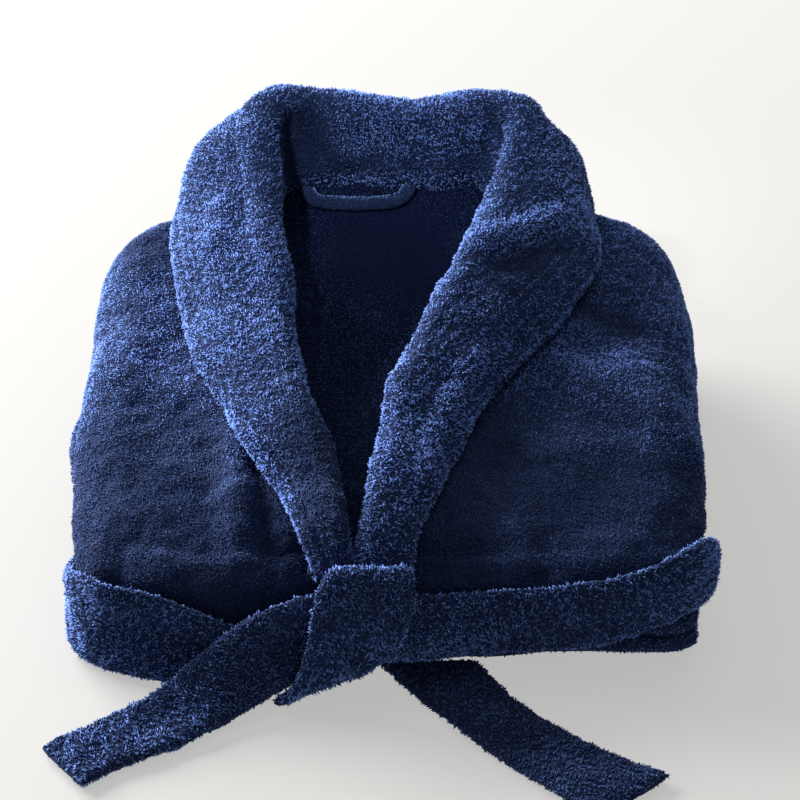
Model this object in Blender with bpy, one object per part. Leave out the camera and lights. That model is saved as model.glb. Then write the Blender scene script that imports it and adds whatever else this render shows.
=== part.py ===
"""A terry kimono robe folded into a packet, face up, with its belt tied at the front edge.

The upper body lies on top, open in a V with a rolled shawl collar that stands up at the back of the
neck. The sleeves are folded flat behind it and the skirt is folded under both. The belt crosses the
front fold of the packet, is tied in one overhand knot, and its two tails lie on the table.

X runs to the viewer's right, Y away from the viewer and Z up. The origin is on the flat underside.
All lengths below are in millimetres. Each row of a list is one station, a section taken across the
piece, and a smooth curve carries the numbers from one station to the next.
"""

from math import pi

import bpy
import numpy as np

MM = 0.001

# Cloth
TERRY = 4.0
DOUBLE = 8.0
HALF = TERRY / 2
CLEAR = 1.5
NAVY = (0.012, 0.03, 0.15)

# The packet: plan of its top layer, and the three layers from the table up
SKIRT_TOP = 32.0
SLEEVE_BOTTOM = 34.0
SIDE_SEAM = 54.0
NECK_X = -12.0
NECK_HALF = 108.0
NECK_SEAM_HALF = 76.0
SHOULDER_STEP = 6.0
BACK_REAR, BACK_FRONT = 246.0, -166.0
BACK_INSET = 4.5

# Widest line of the top layer, from the left of the front fold round the back to the right (x, y)
LEFT_SIDE = [(-188, -192), (-217, -172), (-230, -125), (-235, -65), (-242, -12), (-238, 40),
             (-235, 110), (-235, 180), (-226, 228), (-192, 250), (-140, 256), (-98, 248)]
RIGHT_SIDE = [(165, -190), (198, -172), (212, -130), (218, -80), (222, -20), (222, 45),
              (225, 110), (222, 178), (210, 229), (170, 250), (115, 254), (76, 249)]

# Inside of the back down its middle (y, z)
BACK_MIDDLE = [(-190, 58), (-150, 66), (-80, 74), (0, 81), (70, 88), (130, 97), (180, 108),
               (215, 122), (232, 133), (243, 143), (249, 152)]
# The same under the fronts, away from the neck
BACK_SIDES = [(-190, 56), (-150, 66), (-80, 76), (0, 82), (70, 84), (130, 86), (180, 88),
              (215, 88), (232, 86), (256, 84)]

# Fronts: collar seam (x, y, z), widest line (x, y), height of the top and of the widest line, radius
# of the rounded edge, height where it ends. The wearer's right front is on the viewer's left.
FRONT_RIGHT = [
    (-93, 232, 142, -98, 248, 143, 138, 6, 57),
    (-103, 208, 127, -140, 256, 123, 92, 28, 57),
    (-105, 188, 119, -192, 250, 119, 72, 34, 57),
    (-106, 168, 114, -226, 228, 115, 62, 36, 57),
    (-106, 140, 110, -235, 180, 110, 58, 38, 57),
    (-104, 95, 106, -235, 110, 105, 57, 42, 57),
    (-101, 48, 104, -238, 40, 101, 56, 46, 57),
    (-92, 0, 102, -242, -12, 99, 56, 46, 57),
    (-80, -42, 100, -235, -65, 97, 55, 45, 57),
    (-69, -82, 97, -230, -125, 94, 52, 44, 54),
    (-61, -112, 95, -217, -172, 90, 48, 42, 44),
    (-57, -132, 93, -188, -192, 88, 44, 40, 34),
    (-55, -146, 92, -140, -196, 88, 44, 40, 10),
    (-54, -154, 91, -95, -197, 88, 44, 40, 8),
    (-53, -158, 90, -55, -197, 88, 44, 39, 8),
]
FRONT_LEFT = [
    (70, 235, 143.5, 76, 249, 144, 139, 6, 57),
    (84, 212, 129, 115, 254, 124, 96, 26, 57),
    (90, 192, 122, 170, 250, 120, 74, 32, 57),
    (88, 165, 119, 210, 229, 116, 64, 35, 57),
    (82, 135, 116, 222, 178, 111, 58, 38, 57),
    (72, 100, 112, 225, 110, 107, 57, 42, 57),
    (58, 60, 109, 222, 45, 102, 56, 44, 57),
    (42, 20, 107, 222, -20, 99, 56, 44, 57),
    (25, -20, 105, 218, -80, 97, 54, 44, 57),
    (14, -60, 102, 212, -130, 95, 52, 42, 54),
    (6, -100, 98, 198, -172, 92, 48, 40, 44),
    (0, -128, 95, 165, -190, 90, 45, 40, 36),
    (-4, -146, 92, 108, -195, 89, 44, 40, 10),
    (-8, -154, 91, 48, -197, 88, 44, 40, 8),
    (-10, -158, 90, -8, -197, 88, 44, 39, 8),
]
SEWN_FROM = -60
FRONT_TUCK = 8.0
TOP_SHARE = 0.42

# Collar: seam, crest of the roll and free edge (x, y, z each), radius of the roll, puff of the fall
COLLAR = [
    (-58, -198, 78, -40, -204, 84, -56, -208, 79, 5, 0),
    (-56, -172, 95, -41, -178, 107, -67, -183, 97, 6, 2),
    (-60, -122, 101, -48, -130, 116, -83, -135, 104, 9, 3),
    (-70, -82, 103, -55, -85, 122, -103, -88, 108, 11, 4),
    (-81, -40, 106, -68, -42, 128, -124, -40, 110, 12, 5),
    (-93, 3, 108, -80, 8, 134, -143, 10, 112, 13, 6),
    (-101, 52, 110, -84, 60, 140, -157, 60, 114, 13, 7),
    (-105, 100, 112, -89, 104, 148, -167, 112, 117, 13, 8),
    (-104, 150, 117, -97, 155, 163, -174, 172, 121, 14, 9),
    (-101, 204, 131, -104, 206, 187, -175, 228, 124, 14, 12),
    (-88, 242, 149, -103, 246, 218, -148, 277, 134, 13, 13),
    (-55, 244.5, 148.8, -66, 258, 219, -80, 287, 140, 11, 8),
    (-34, 245.2, 149, -38, 258, 211, -44, 288, 140, 11, 7),
    (0, 245.4, 149, 2, 258, 208, 4, 288, 140, 11, 7),
    (32, 244.5, 148.8, 36, 258, 212, 50, 286, 140, 11, 8),
    (65, 242, 149, 90, 247, 217, 127, 272, 136, 13, 10),
    (83, 208, 135, 84, 206, 192, 152, 230, 129, 14, 9),
    (88, 178, 126, 71, 172, 175, 153, 184, 127, 14, 7),
    (82, 140, 122, 60, 138, 164, 149, 144, 125, 14, 8),
    (72, 105, 119, 46, 105, 155, 135, 110, 123, 13, 8),
    (58, 64, 116, 29, 62, 147, 117, 68, 120, 13, 7),
    (42, 22, 113, 12, 22, 140, 88, 22, 116, 12, 6),
    (26, -18, 110, 3, -12, 134, 65, -18, 112, 12, 5),
    (14, -56, 107, -8, -45, 129, 51, -50, 110, 11, 5),
    (6, -90, 105, -12, -84, 122, 40, -88, 108, 10, 4),
    (1, -126, 102, -17, -132, 114, 25, -132, 103, 8, 3),
    (-4, -172, 96, -23, -179, 103, 10, -182, 95, 6, 2),
    (-8, -198, 78, -26, -204, 84, 6, -208, 79, 5, 0),
]
LOWER_SHARE, ROLL_SHARE = 0.2, 0.33

# Belt: one edge and the other (x, y, z each), and how far the middle stands out from them
BELT_WRAP_LEFT = [
    (-34, -214, 72, -34, -213, 20, 9),
    (0, -214, 69, 0, -213, 20, 9),
    (45, -209, 68, 45, -208, 19, 6),
    (85, -205, 68, 85, -204, 18, 4),
    (128, -203.5, 72, 126, -203, 21, 3),
    (166, -200, 80, 162, -199, 29, 3),
    (193, -189, 86, 190, -188, 35, 3),
    (209, -171, 85, 207, -172, 34, 3),
    (217.5, -152, 75, 216.5, -156, 32, 3),
    (219.5, -134, 60, 219, -141, 33, 2),
    (216, -121, 50, 216, -128, 36, 1),
    (207, -114, 47, 207, -119, 38, 0),
]
BELT_WRAP_RIGHT = [
    (-92, -214, 34, -92, -240, 6, 3),
    (-114, -211, 40, -116, -236, 6, 4),
    (-140, -208, 51, -142, -228, 5.5, 5),
    (-168, -204, 61, -170, -218, 5.3, 5),
    (-196, -200, 67, -197, -209, 5.3, 4),
    (-218, -187, 66, -220, -196, 5.3, 3),
    (-230, -167, 57, -231, -178, 7, 3),
    (-234.5, -149, 48, -235, -160, 12, 3),
    (-234, -133, 43, -234.5, -144, 19, 2),
    (-229, -121, 43, -230, -128, 30, 1),
    (-219, -115, 45, -221, -119, 36, 0),
]
BELT_KNOT = [
    (-44, -214, 86, 4, -214, 88, 0),
    (-48, -222, 95, 6, -218, 97, 1),
    (-54, -232, 90, 8, -227, 88, 2),
    (-58, -239, 71, 5, -235, 66, 3),
    (-61, -242, 50, -3, -238, 47, 4),
    (-67, -245, 30, -12, -237, 33, 4),
    (-76, -248, 15, -22, -233, 23, 3),
    (-86, -247, 6.5, -30, -224, 14, 1),
]
BELT_TAIL_RIGHT = [
    (-36, -214, 72, -36, -213, 13, 9),
    (-57, -219, 74, -60, -227, 16, 7),
    (-79, -221, 69, -81, -243, 16, 7),
    (-97, -221, 60, -99, -256, 12, 6),
    (-114, -224, 50, -118, -269, 7.5, 5),
    (-133, -230, 36, -135, -283, 6, 6),
    (-155, -238, 19, -151, -295, 5.3, 5),
    (-172, -247, 9, -169, -306, 5.3, 3),
    (-193, -262, 5.5, -190, -318, 5.3, 1),
    (-243, -299, 5.3, -214, -340, 5.3, 1),
]
BELT_TAIL_LEFT = [
    (-12, -203, 5.3, 54, -203, 5.3, 0),
    (4, -226, 5.3, 71, -235, 5.3, 0),
    (26, -255, 5.3, 93, -263, 5.3, 1),
    (56, -293, 5.3, 121, -290, 5.3, 1),
    (84, -324, 5.3, 148, -310, 5.3, 1),
    (132, -377, 5.3, 180, -332, 5.3, 1),
]

# Skirt and sleeves: plan (x, y), and the edge from the bottom up: for the skirt inset and height,
# for a sleeve inset and share of its thickness
SKIRT_PLAN = [(-224, -150), (-208, -187), (-150, -187), (0, -187), (140, -186), (201, -184),
              (214, -146), (214, 20), (211, 160), (188, 220), (120, 240), (-20, 240),
              (-150, 240), (-208, 218), (-224, 160), (-226, 20)]
SKIRT_EDGE = [(7, 0), (2, 3), (0, 8), (2, 13), (6, 16), (2.5, 19), (1.5, 24), (5, 29.5),
              (14, SKIRT_TOP)]
SLEEVE_RIGHT_PLAN = [(-224, -80), (-180, -112), (-90, -112), (-24, -100), (-15, -40),
                     (-14.5, 60), (-14.5, 160), (-17, 232), (-50, 242), (-100, 238),
                     (-190, 236), (-224, 200), (-229, 120), (-231, 20)]
SLEEVE_LEFT_PLAN = [(208, -80), (165, -112), (70, -112), (4, -100), (-8, -40), (-8.5, 60),
                    (-8.5, 160), (-6, 232), (30, 242), (90, 238), (170, 236), (208, 200),
                    (215, 120), (216, 20)]
SLEEVE_EDGE = [(5, 0), (0.5, 0.14), (0, 0.3), (4, 0.42), (1, 0.55), (1, 0.75), (8, 1), (24, 1),
               (46, 1), (74, 1)]
UNDER_BACK_STEP = 14.0
UNDER_BACK_GAP = 3.0

# Largest folds of the fronts: the line of the ridge (x, y to x, y), its height and half its width
FOLDS_RIGHT = [(-131, 20, -120, -125, 4, 17), (-120, -125, -113, -198, 4, 15),
               (-172, 70, -196, -90, -3, 22)]
FOLDS_LEFT = [(84, 70, 137, 12, 3, 18), (137, 12, 186, -22, 3, 16), (186, 20, 216, -70, 4, 12),
              (140, -40, 190, -150, -3, 20)]
FOLD_ENDS_AT = (68.0, 84.0)

# Hanging loop: its route (x, y, z), round the band's middle, sewn at both ends to the neck seam
LOOP = [(-72, 238.5, 146), (-72, 236, 144.5), (-69, 231, 141), (-60, 228.2, 138.6),
        (-8, 228.2, 138.6), (1, 231, 141.2), (6, 235, 145), (7, 238, 148)]
LOOP_WIDTH = 9.0


def spline(stations, count, share=None):
    """Points on the natural cubic spline through the stations, spaced by distance in their first
    three numbers. share, if given, holds the places wanted, from 0 to 1."""
    rows = np.array(stations, float)
    steps = np.linalg.norm(np.diff(rows[:, :3], axis=0), axis=1)
    knots = np.concatenate([[0], np.cumsum(np.sqrt(steps))])
    knots = knots / knots[-1]
    gaps = np.diff(knots)
    last = len(rows) - 1
    system = np.eye(last + 1)
    bends = np.zeros_like(rows)
    for i in range(1, last):
        system[i, i - 1:i + 2] = gaps[i - 1], 2 * (gaps[i - 1] + gaps[i]), gaps[i]
        rise = (rows[i + 1] - rows[i]) / gaps[i]
        fall = (rows[i] - rows[i - 1]) / gaps[i - 1]
        bends[i] = 6 * (rise - fall)
    bends = np.linalg.solve(system, bends)
    t = np.linspace(0, 1, count) if share is None else np.asarray(share, float)
    i = np.clip(np.searchsorted(knots, t, side="right") - 1, 0, last - 1)
    left = (t - knots[i])[:, None]
    right = (knots[i + 1] - t)[:, None]
    gap = gaps[i][:, None]
    return (
        (bends[i] * right**3 + bends[i + 1] * left**3) / (6 * gap)
        + (rows[i] / gap - bends[i] * gap / 6) * right
        + (rows[i + 1] / gap - bends[i + 1] * gap / 6) * left
    )


def unit(vectors):
    return vectors / np.maximum(np.linalg.norm(vectors, axis=-1, keepdims=True), 1e-9)


def normals(grid):
    """Unit normals of a grid of points, from the directions of its rows and columns."""
    return unit(np.cross(np.gradient(grid, axis=0), np.gradient(grid, axis=1)))


def terry_material():
    found = bpy.data.materials.new("navy_terry")
    found.use_nodes = True
    shader = found.node_tree.nodes["Principled BSDF"]
    shader.inputs["Base Color"].default_value = (*NAVY, 1)
    shader.inputs["Roughness"].default_value = 0.95
    shader.inputs["Metallic"].default_value = 0
    return found


def add_solid(name, points, faces):
    """One object from points in millimetres. Its faces are turned to point out."""
    mesh = bpy.data.meshes.new(name)
    mesh.from_pydata((np.asarray(points) * MM).tolist(), [], faces)
    corners = np.asarray(points)[np.array([f[:3] for f in faces])]
    quads = np.asarray(points)[np.array([(f[0], f[2], f[-1]) for f in faces])]
    if np.linalg.det(corners).sum() + np.linalg.det(quads).sum() < 0:
        mesh.flip_normals()
    mesh.materials.append(terry_material())
    mesh.shade_smooth()
    obj = bpy.data.objects.new(name, mesh)
    bpy.context.scene.collection.objects.link(obj)
    return obj


def wall(name, grid, thickness, edge=1.0):
    """A closed wall with this grid as its middle surface. edge is the share of the thickness kept
    along the two long edges, so that a belt or a collar has soft ones."""
    rows, columns = grid.shape[:2]
    taper = np.ones(columns)
    taper[[0, -1]] = edge
    offset = normals(grid) * (thickness / 2 * taper)[None, :, None]
    points = np.concatenate([(grid + offset).reshape(-1, 3), (grid - offset).reshape(-1, 3)])
    index = np.arange(rows * columns).reshape(rows, columns)
    a, b, c, d = index[:-1, :-1], index[1:, :-1], index[1:, 1:], index[:-1, 1:]
    top = np.stack([a, b, c, d], -1).reshape(-1, 4)
    low = top[:, ::-1] + rows * columns
    rim = np.concatenate([index[:-1, 0], index[-1, :-1], index[:0:-1, -1], index[0, :0:-1]])
    onward = np.roll(rim, -1)
    side = np.stack([onward, rim, rim + rows * columns, onward + rows * columns], -1)
    return add_solid(name, points, np.concatenate([top, low, side]).tolist())


def stacked(name, rings, base_centre, top_centre):
    """A closed solid through rings of equal length, from the bottom up, with a fan at each end."""
    count = len(rings[0])
    points = np.concatenate([*rings, [base_centre], [top_centre]])
    faces = []
    for level in range(len(rings) - 1):
        for i in range(count):
            j = (i + 1) % count
            low, high = level * count, (level + 1) * count
            faces.append((low + i, low + j, high + j, high + i))
    first, last = len(points) - 2, len(points) - 1
    top = (len(rings) - 1) * count
    for i in range(count):
        j = (i + 1) % count
        faces.append((first, j, i))
        faces.append((last, top + i, top + j))
    return add_solid(name, points, faces)


def side_at(side, y):
    """x of the widest line of the top layer at this y."""
    curve = spline([(x, depth, 0) for x, depth in side], 200)
    order = np.argsort(curve[:, 1])
    return np.interp(y, curve[order, 1], curve[order, 0])


def height_along(profile, y):
    curve = spline([(depth, z, 0) for depth, z in profile], 100)
    return np.interp(y, curve[:, 0], curve[:, 1])


def eased(share):
    """A smooth step from 0 to 1."""
    share = np.clip(share, 0, 1)
    return share * share * (3 - 2 * share)


def neck_hump(x):
    """1 across the neck and 0 at the shoulders, where the back lies flat."""
    return 1 / (1 + (np.abs(x - NECK_X) / NECK_HALF) ** 10)


def distance_to_edge(x, y):
    """Distance in plan to the widest line of the top layer, leaving out the neck."""
    stretches = [spline([(px, py, 0) for px, py in side], 160) for side in (LEFT_SIDE, RIGHT_SIDE)]
    line = np.concatenate(stretches)
    return np.hypot(x[..., None] - line[:, 0], y[..., None] - line[:, 1]).min(axis=-1)


def back_height(x, y):
    """Height of the middle of the back's cloth."""
    hump = neck_hump(x)
    inner = height_along(BACK_SIDES, y) * (1 - hump) + height_along(BACK_MIDDLE, y) * hump
    side = eased((distance_to_edge(x, y) - 6) / 50)
    rise = side * (1 - hump) + hump
    return SIDE_SEAM + (inner - SIDE_SEAM) * rise


def back_grid(rows, columns):
    """From the neck and shoulder seams forward to the front fold, and from side to side."""
    along = 1 - np.cos(np.linspace(0, 1, rows) * pi / 2)
    across = np.sin(np.linspace(-1, 1, columns) * pi / 2)
    y = BACK_REAR - along * (BACK_REAR - BACK_FRONT)
    left, right = side_at(LEFT_SIDE, y) + BACK_INSET, side_at(RIGHT_SIDE, y) - BACK_INSET
    x = (left + right)[:, None] / 2 + (right - left)[:, None] / 2 * across[None, :]
    shoulder = np.clip((np.abs(x - NECK_X) - NECK_SEAM_HALF) / 8, 0, 1)
    depth = y[:, None] - SHOULDER_STEP * shoulder * (1 - along[:, None])
    return np.stack([x, depth, back_height(x, depth)], -1)


def front_grid(stations, rows, columns):
    """Each row runs from the collar seam over the top and round the rounded edge."""
    cut = spline(stations, rows)
    seam, wide = cut[:, :3], cut[:, 3:5]
    top, middle, radius = cut[:, 5], cut[:, 6], cut[:, 7]
    out = unit(wide - seam[:, :2])
    crest = wide - out * radius[:, None]
    sewn = back_height(wide[:, 0], np.minimum(wide[:, 1], 250)) + HALF + CLEAR
    end = np.where(wide[:, 1] > SEWN_FROM, sewn, cut[:, 8])
    upper = np.clip((end - middle) / (top - middle), 0, 1)
    lower = np.clip((middle - end) / (middle - 4), 0, 1)
    last = np.where(end > middle, np.arccos(upper), pi - np.arccos(lower))
    share = np.linspace(0, 1, columns)
    run = np.clip(share / TOP_SHARE, 0, 1)
    turn = np.clip((share - TOP_SHARE) / (1 - TOP_SHARE), 0, 1)
    angle = last[:, None] * turn[None, :]
    reach = np.where(angle < pi / 2, radius[:, None] * np.sin(angle),
                     radius[:, None] - FRONT_TUCK * (1 - np.sin(angle)))
    fall = np.where(angle < pi / 2, (top - middle)[:, None], (middle - 4)[:, None])
    flat = seam[:, None, :2] + (crest - seam[:, :2])[:, None, :] * run[None, :, None]
    plan = flat + out[:, None, :] * reach[:, :, None]
    eased = np.sin(run * pi / 2)[None, :]
    z = seam[:, 2:] + (top - seam[:, 2])[:, None] * eased
    z = np.where(turn[None, :] > 0, middle[:, None] + fall * np.cos(angle), z)
    return np.concatenate([plan, z[:, :, None]], -1)


def folded(grid, folds):
    """The grid with each ridge raised along its normals. They die out above the belt."""
    low, high = FOLD_ENDS_AT
    lift = np.zeros(grid.shape[:2])
    for x0, y0, x1, y1, height, width in folds:
        run, rise = x1 - x0, y1 - y0
        share = ((grid[..., 0] - x0) * run + (grid[..., 1] - y0) * rise) / (run**2 + rise**2)
        share = np.clip(share, 0, 1)
        away = np.hypot(grid[..., 0] - x0 - run * share, grid[..., 1] - y0 - rise * share)
        lift = lift + height * np.exp(-(away / width) ** 2)
    across = eased(np.linspace(0, 1, grid.shape[1]) * 6)[None, :]
    lift = lift * across * eased((grid[..., 2] - low) / (high - low))
    out = normals(grid)
    out = out * np.sign(out[..., 2].sum())
    return grid + out * lift[..., None]


def collar_grid(rows, columns):
    """Each row runs from the seam up the inside, over the roll and down the fall to the edge."""
    cut = spline(COLLAR, rows)
    seam, crest, free = cut[:, :3], cut[:, 3:6], cut[:, 6:9]
    radius, puff = cut[:, 9:10], cut[:, 10:11]
    lead = unit(crest - (seam + free) / 2)
    spread = free - seam
    outward = unit(spread - lead * (spread * lead).sum(-1, keepdims=True))
    centre = crest - lead * radius
    inner, outer = centre - outward * radius, centre + outward * radius
    share = np.linspace(0, 1, columns)[None, :, None]
    low = np.clip(share / LOWER_SHARE, 0, 1)
    roll = np.clip((share - LOWER_SHARE) / ROLL_SHARE, 0, 1) * pi
    fall = np.clip((share - LOWER_SHARE - ROLL_SHARE) / (1 - LOWER_SHARE - ROLL_SHARE), 0, 1)
    grid = seam[:, None] + (inner - seam)[:, None] * low
    turn = outward[:, None] * (1 - np.cos(roll)) + lead[:, None] * np.sin(roll)
    grid = grid + radius[:, None] * turn
    grid = grid + (free - outer)[:, None] * fall
    return grid + outward[:, None] * puff[:, None] * np.sin(fall * pi)


def band_grid(stations, rows, columns):
    """Across a band from one edge to the other, with its middle standing out."""
    cut = spline(stations, rows)
    one, other, bulge = cut[:, :3], cut[:, 3:6], cut[:, 6:7]
    middle = (one + other) / 2
    out = unit(np.cross(np.gradient(middle, axis=0), one - other))
    share = np.linspace(0, 1, columns)[None, :, None]
    grid = one[:, None] * (1 - share) + other[:, None] * share
    return grid + out[:, None] * bulge[:, None] * np.sin(share * pi)


def closed_curve(corners, steps=12):
    """A smooth closed curve through the corners, with this many points to each."""
    here = np.array(corners, float)
    before, after, beyond = (np.roll(here, turn, axis=0) for turn in (1, -1, -2))
    t = (np.arange(steps) / steps)[None, :, None]
    here, before, after, beyond = (side[:, None] for side in (here, before, after, beyond))
    bend = 2 * before - 5 * here + 4 * after - beyond
    twist = 3 * here - before - 3 * after + beyond
    curve = here + ((after - before) * t + bend * t**2 + twist * t**3) / 2
    return curve.reshape(-1, 2)


def plan_ring(corners, count, inset, z):
    """A closed ring round a rounded plan, moved in by inset, at height z."""
    curve = closed_curve(corners)
    looped = np.concatenate([curve, curve[:1]])
    steps = np.linalg.norm(np.diff(looped, axis=0), axis=1)
    length = np.concatenate([[0], np.cumsum(steps)])
    places = np.linspace(0, length[-1], count, endpoint=False)
    ring = np.stack([np.interp(places, length, looped[:, k]) for k in range(2)], -1)
    along = unit(np.roll(ring, -1, axis=0) - np.roll(ring, 1, axis=0))
    inward = np.stack([-along[:, 1], along[:, 0]], -1)
    inward = inward * np.sign(((ring.mean(axis=0) - ring) * inward).sum(-1).sum())
    return np.column_stack([ring + inward * inset, np.full(count, z)])


def add_skirt():
    """The folded skirt as one rounded solid, with a groove between its two thick layers."""
    rings = [plan_ring(SKIRT_PLAN, 44, inset, z) for inset, z in SKIRT_EDGE]
    return stacked("skirt", rings, rings[0].mean(axis=0), rings[-1].mean(axis=0))


def under_back(x, y):
    """Highest point of what lies under the back, clear of its slopes."""
    steps = (-UNDER_BACK_STEP, 0, UNDER_BACK_STEP)
    around = [back_height(x + aside, y + onward) for aside in steps for onward in steps]
    return np.min(around, axis=0) - HALF - UNDER_BACK_GAP


def add_sleeve(name, plan):
    """A sleeve folded flat behind the back. Its edge shows the layers, and its top fills the back."""
    rings = []
    for inset, share in SLEEVE_EDGE:
        ring = plan_ring(plan, 30, inset, 0)
        ring[:, 2] = SLEEVE_BOTTOM + (under_back(ring[:, 0], ring[:, 1]) - SLEEVE_BOTTOM) * share
        rings.append(ring)
    middle = rings[-1].mean(axis=0)
    middle[2] = under_back(middle[0], middle[1])
    base = rings[0].mean(axis=0)
    base[2] = SLEEVE_BOTTOM
    return stacked(name, rings, base, middle)


def add_loop():
    route = spline(LOOP, 16)
    tangent = unit(np.gradient(route, axis=0))
    across = unit(np.cross(tangent, [(0, -0.55, 0.83)]))
    grid = np.stack([route - across * LOOP_WIDTH / 2, route, route + across * LOOP_WIDTH / 2], 1)
    return wall("hanger_loop", grid, TERRY, 0.8)


def main():
    for obj in list(bpy.data.objects):
        bpy.data.objects.remove(obj)
    add_skirt()
    add_sleeve("sleeve_right", SLEEVE_RIGHT_PLAN)
    add_sleeve("sleeve_left", SLEEVE_LEFT_PLAN)
    wall("back", back_grid(15, 17), TERRY)
    wall("front_right", folded(front_grid(FRONT_RIGHT, 31, 13), FOLDS_RIGHT), TERRY)
    wall("front_left", folded(front_grid(FRONT_LEFT, 31, 13), FOLDS_LEFT), TERRY)
    wall("collar", collar_grid(47, 10), DOUBLE, 0.7)
    add_loop()
    wall("belt_wrap_right", band_grid(BELT_WRAP_RIGHT, 14, 5), DOUBLE, 0.6)
    wall("belt_wrap_left", band_grid(BELT_WRAP_LEFT, 16, 5), DOUBLE, 0.6)
    wall("belt_knot", band_grid(BELT_KNOT, 13, 5), DOUBLE, 0.6)
    wall("belt_tail_right", band_grid(BELT_TAIL_RIGHT, 16, 5), DOUBLE, 0.6)
    wall("belt_tail_left", band_grid(BELT_TAIL_LEFT, 10, 5), DOUBLE, 0.6)


main()
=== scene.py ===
"""The looks of a terry kimono robe, folded into a packet with its belt tied in front.

Every piece of cloth is a closed wall worked out on a grid: rows are sections taken across the
piece, and a smooth curve carries their numbers from station to station. Creases are soft ridges
and troughs along listed lines. The loops of the terry are small solids scattered over the
cloth.

X runs to the viewer's right, Y away from the viewer and Z up, with the origin on the flat
underside. Lists and sizes below are in millimetres.
"""

from math import ceil, cos, pi, radians, sin

import bpy
import numpy as np
from bpy.props import FloatProperty, FloatVectorProperty, PointerProperty
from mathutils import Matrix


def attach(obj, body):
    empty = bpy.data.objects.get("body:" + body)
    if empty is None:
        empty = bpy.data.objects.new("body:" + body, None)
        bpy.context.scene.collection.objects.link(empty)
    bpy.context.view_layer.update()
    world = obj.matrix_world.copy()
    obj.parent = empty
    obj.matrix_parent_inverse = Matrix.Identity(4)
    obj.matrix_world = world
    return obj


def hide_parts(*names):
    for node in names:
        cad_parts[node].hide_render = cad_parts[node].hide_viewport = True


bl_info = {
    "name": "Folded Terry Robe",
    "version": (1, 0, 0),
    "blender": (4, 5, 0),
    "location": "View3D > Sidebar > Robe",
    "description": "Builds a folded terry robe, its pile, its belt and a plain stage",
    "category": "Add Mesh",
}

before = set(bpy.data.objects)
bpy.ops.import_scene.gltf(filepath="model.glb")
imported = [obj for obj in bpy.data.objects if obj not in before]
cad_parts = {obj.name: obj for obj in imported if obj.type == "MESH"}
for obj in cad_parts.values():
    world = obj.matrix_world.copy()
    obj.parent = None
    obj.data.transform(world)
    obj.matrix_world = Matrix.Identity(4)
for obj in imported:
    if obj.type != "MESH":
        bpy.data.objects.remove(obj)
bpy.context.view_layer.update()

MM = 0.001
LOWEST = 0.0002

# Cloth
TERRY = 4.0
DOUBLE = 8.0
HALF = TERRY / 2
CLEAR = 1.5

# Rows and columns of the grids
FRONT_GRID = (150, 46)
BACK_GRID = (76, 80)
COLLAR_ROWS, COLLAR_COLUMNS = 210, 52
COLLAR_MIDDLE = COLLAR_ROWS // 2
LOOP_ROWS, LOOP_COLUMNS = 60, 7
BELT_COLUMNS = 16
RIM_COLUMNS = 7

# The packet
SKIRT_TOP = 32.0
SLEEVE_BOTTOM = 34.0
SIDE_SEAM = 54.0
NECK_X = -12.0
NECK_HALF = 108.0
NECK_SEAM_HALF = 76.0
SHOULDER_STEP, SHOULDER_RUN = 6.0, 8.0
BACK_REAR, BACK_FRONT = 246.0, -166.0
BACK_INSET = 4.5

# Widest line of the top layer, from the left of the front fold round the back to the right (x, y)
LEFT_SIDE = [(-188, -192), (-217, -172), (-230, -125), (-235, -65), (-242, -12), (-238, 40),
             (-235, 110), (-235, 180), (-226, 228), (-192, 250), (-140, 256), (-98, 248)]
RIGHT_SIDE = [(165, -190), (198, -172), (212, -130), (218, -80), (222, -20), (222, 45),
              (225, 110), (222, 178), (210, 229), (170, 250), (115, 254), (76, 249)]

# Inside of the back down its middle, and under the fronts away from the neck (y, z)
BACK_MIDDLE = [(-190, 58), (-150, 66), (-80, 74), (0, 81), (70, 88), (130, 97), (180, 108),
               (215, 122), (232, 133), (243, 143), (249, 152)]
BACK_SIDES = [(-190, 56), (-150, 66), (-80, 76), (0, 82), (70, 84), (130, 86), (180, 88),
              (215, 88), (232, 86), (256, 84)]

# Fronts: collar seam (x, y, z), widest line (x, y), height of the top and of the widest line,
# radius of the rounded edge, height where it ends. The wearer's right is on the viewer's left.
FRONT_RIGHT = [
    (-93, 232, 142, -98, 248, 143, 138, 6, 57),
    (-103, 208, 127, -140, 256, 123, 92, 28, 57),
    (-105, 188, 119, -192, 250, 119, 72, 34, 57),
    (-106, 168, 114, -226, 228, 115, 62, 36, 57),
    (-106, 140, 110, -235, 180, 110, 58, 38, 57),
    (-104, 95, 106, -235, 110, 105, 57, 42, 57),
    (-101, 48, 104, -238, 40, 101, 56, 46, 57),
    (-92, 0, 102, -242, -12, 99, 56, 46, 57),
    (-80, -42, 100, -235, -65, 97, 55, 45, 57),
    (-69, -82, 97, -230, -125, 94, 52, 44, 54),
    (-61, -112, 95, -217, -172, 90, 48, 42, 44),
    (-57, -132, 93, -188, -192, 88, 44, 40, 34),
    (-55, -146, 92, -140, -196, 88, 44, 40, 10),
    (-54, -154, 91, -95, -197, 88, 44, 40, 8),
    (-53, -158, 90, -55, -197, 88, 44, 39, 8),
]
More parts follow.
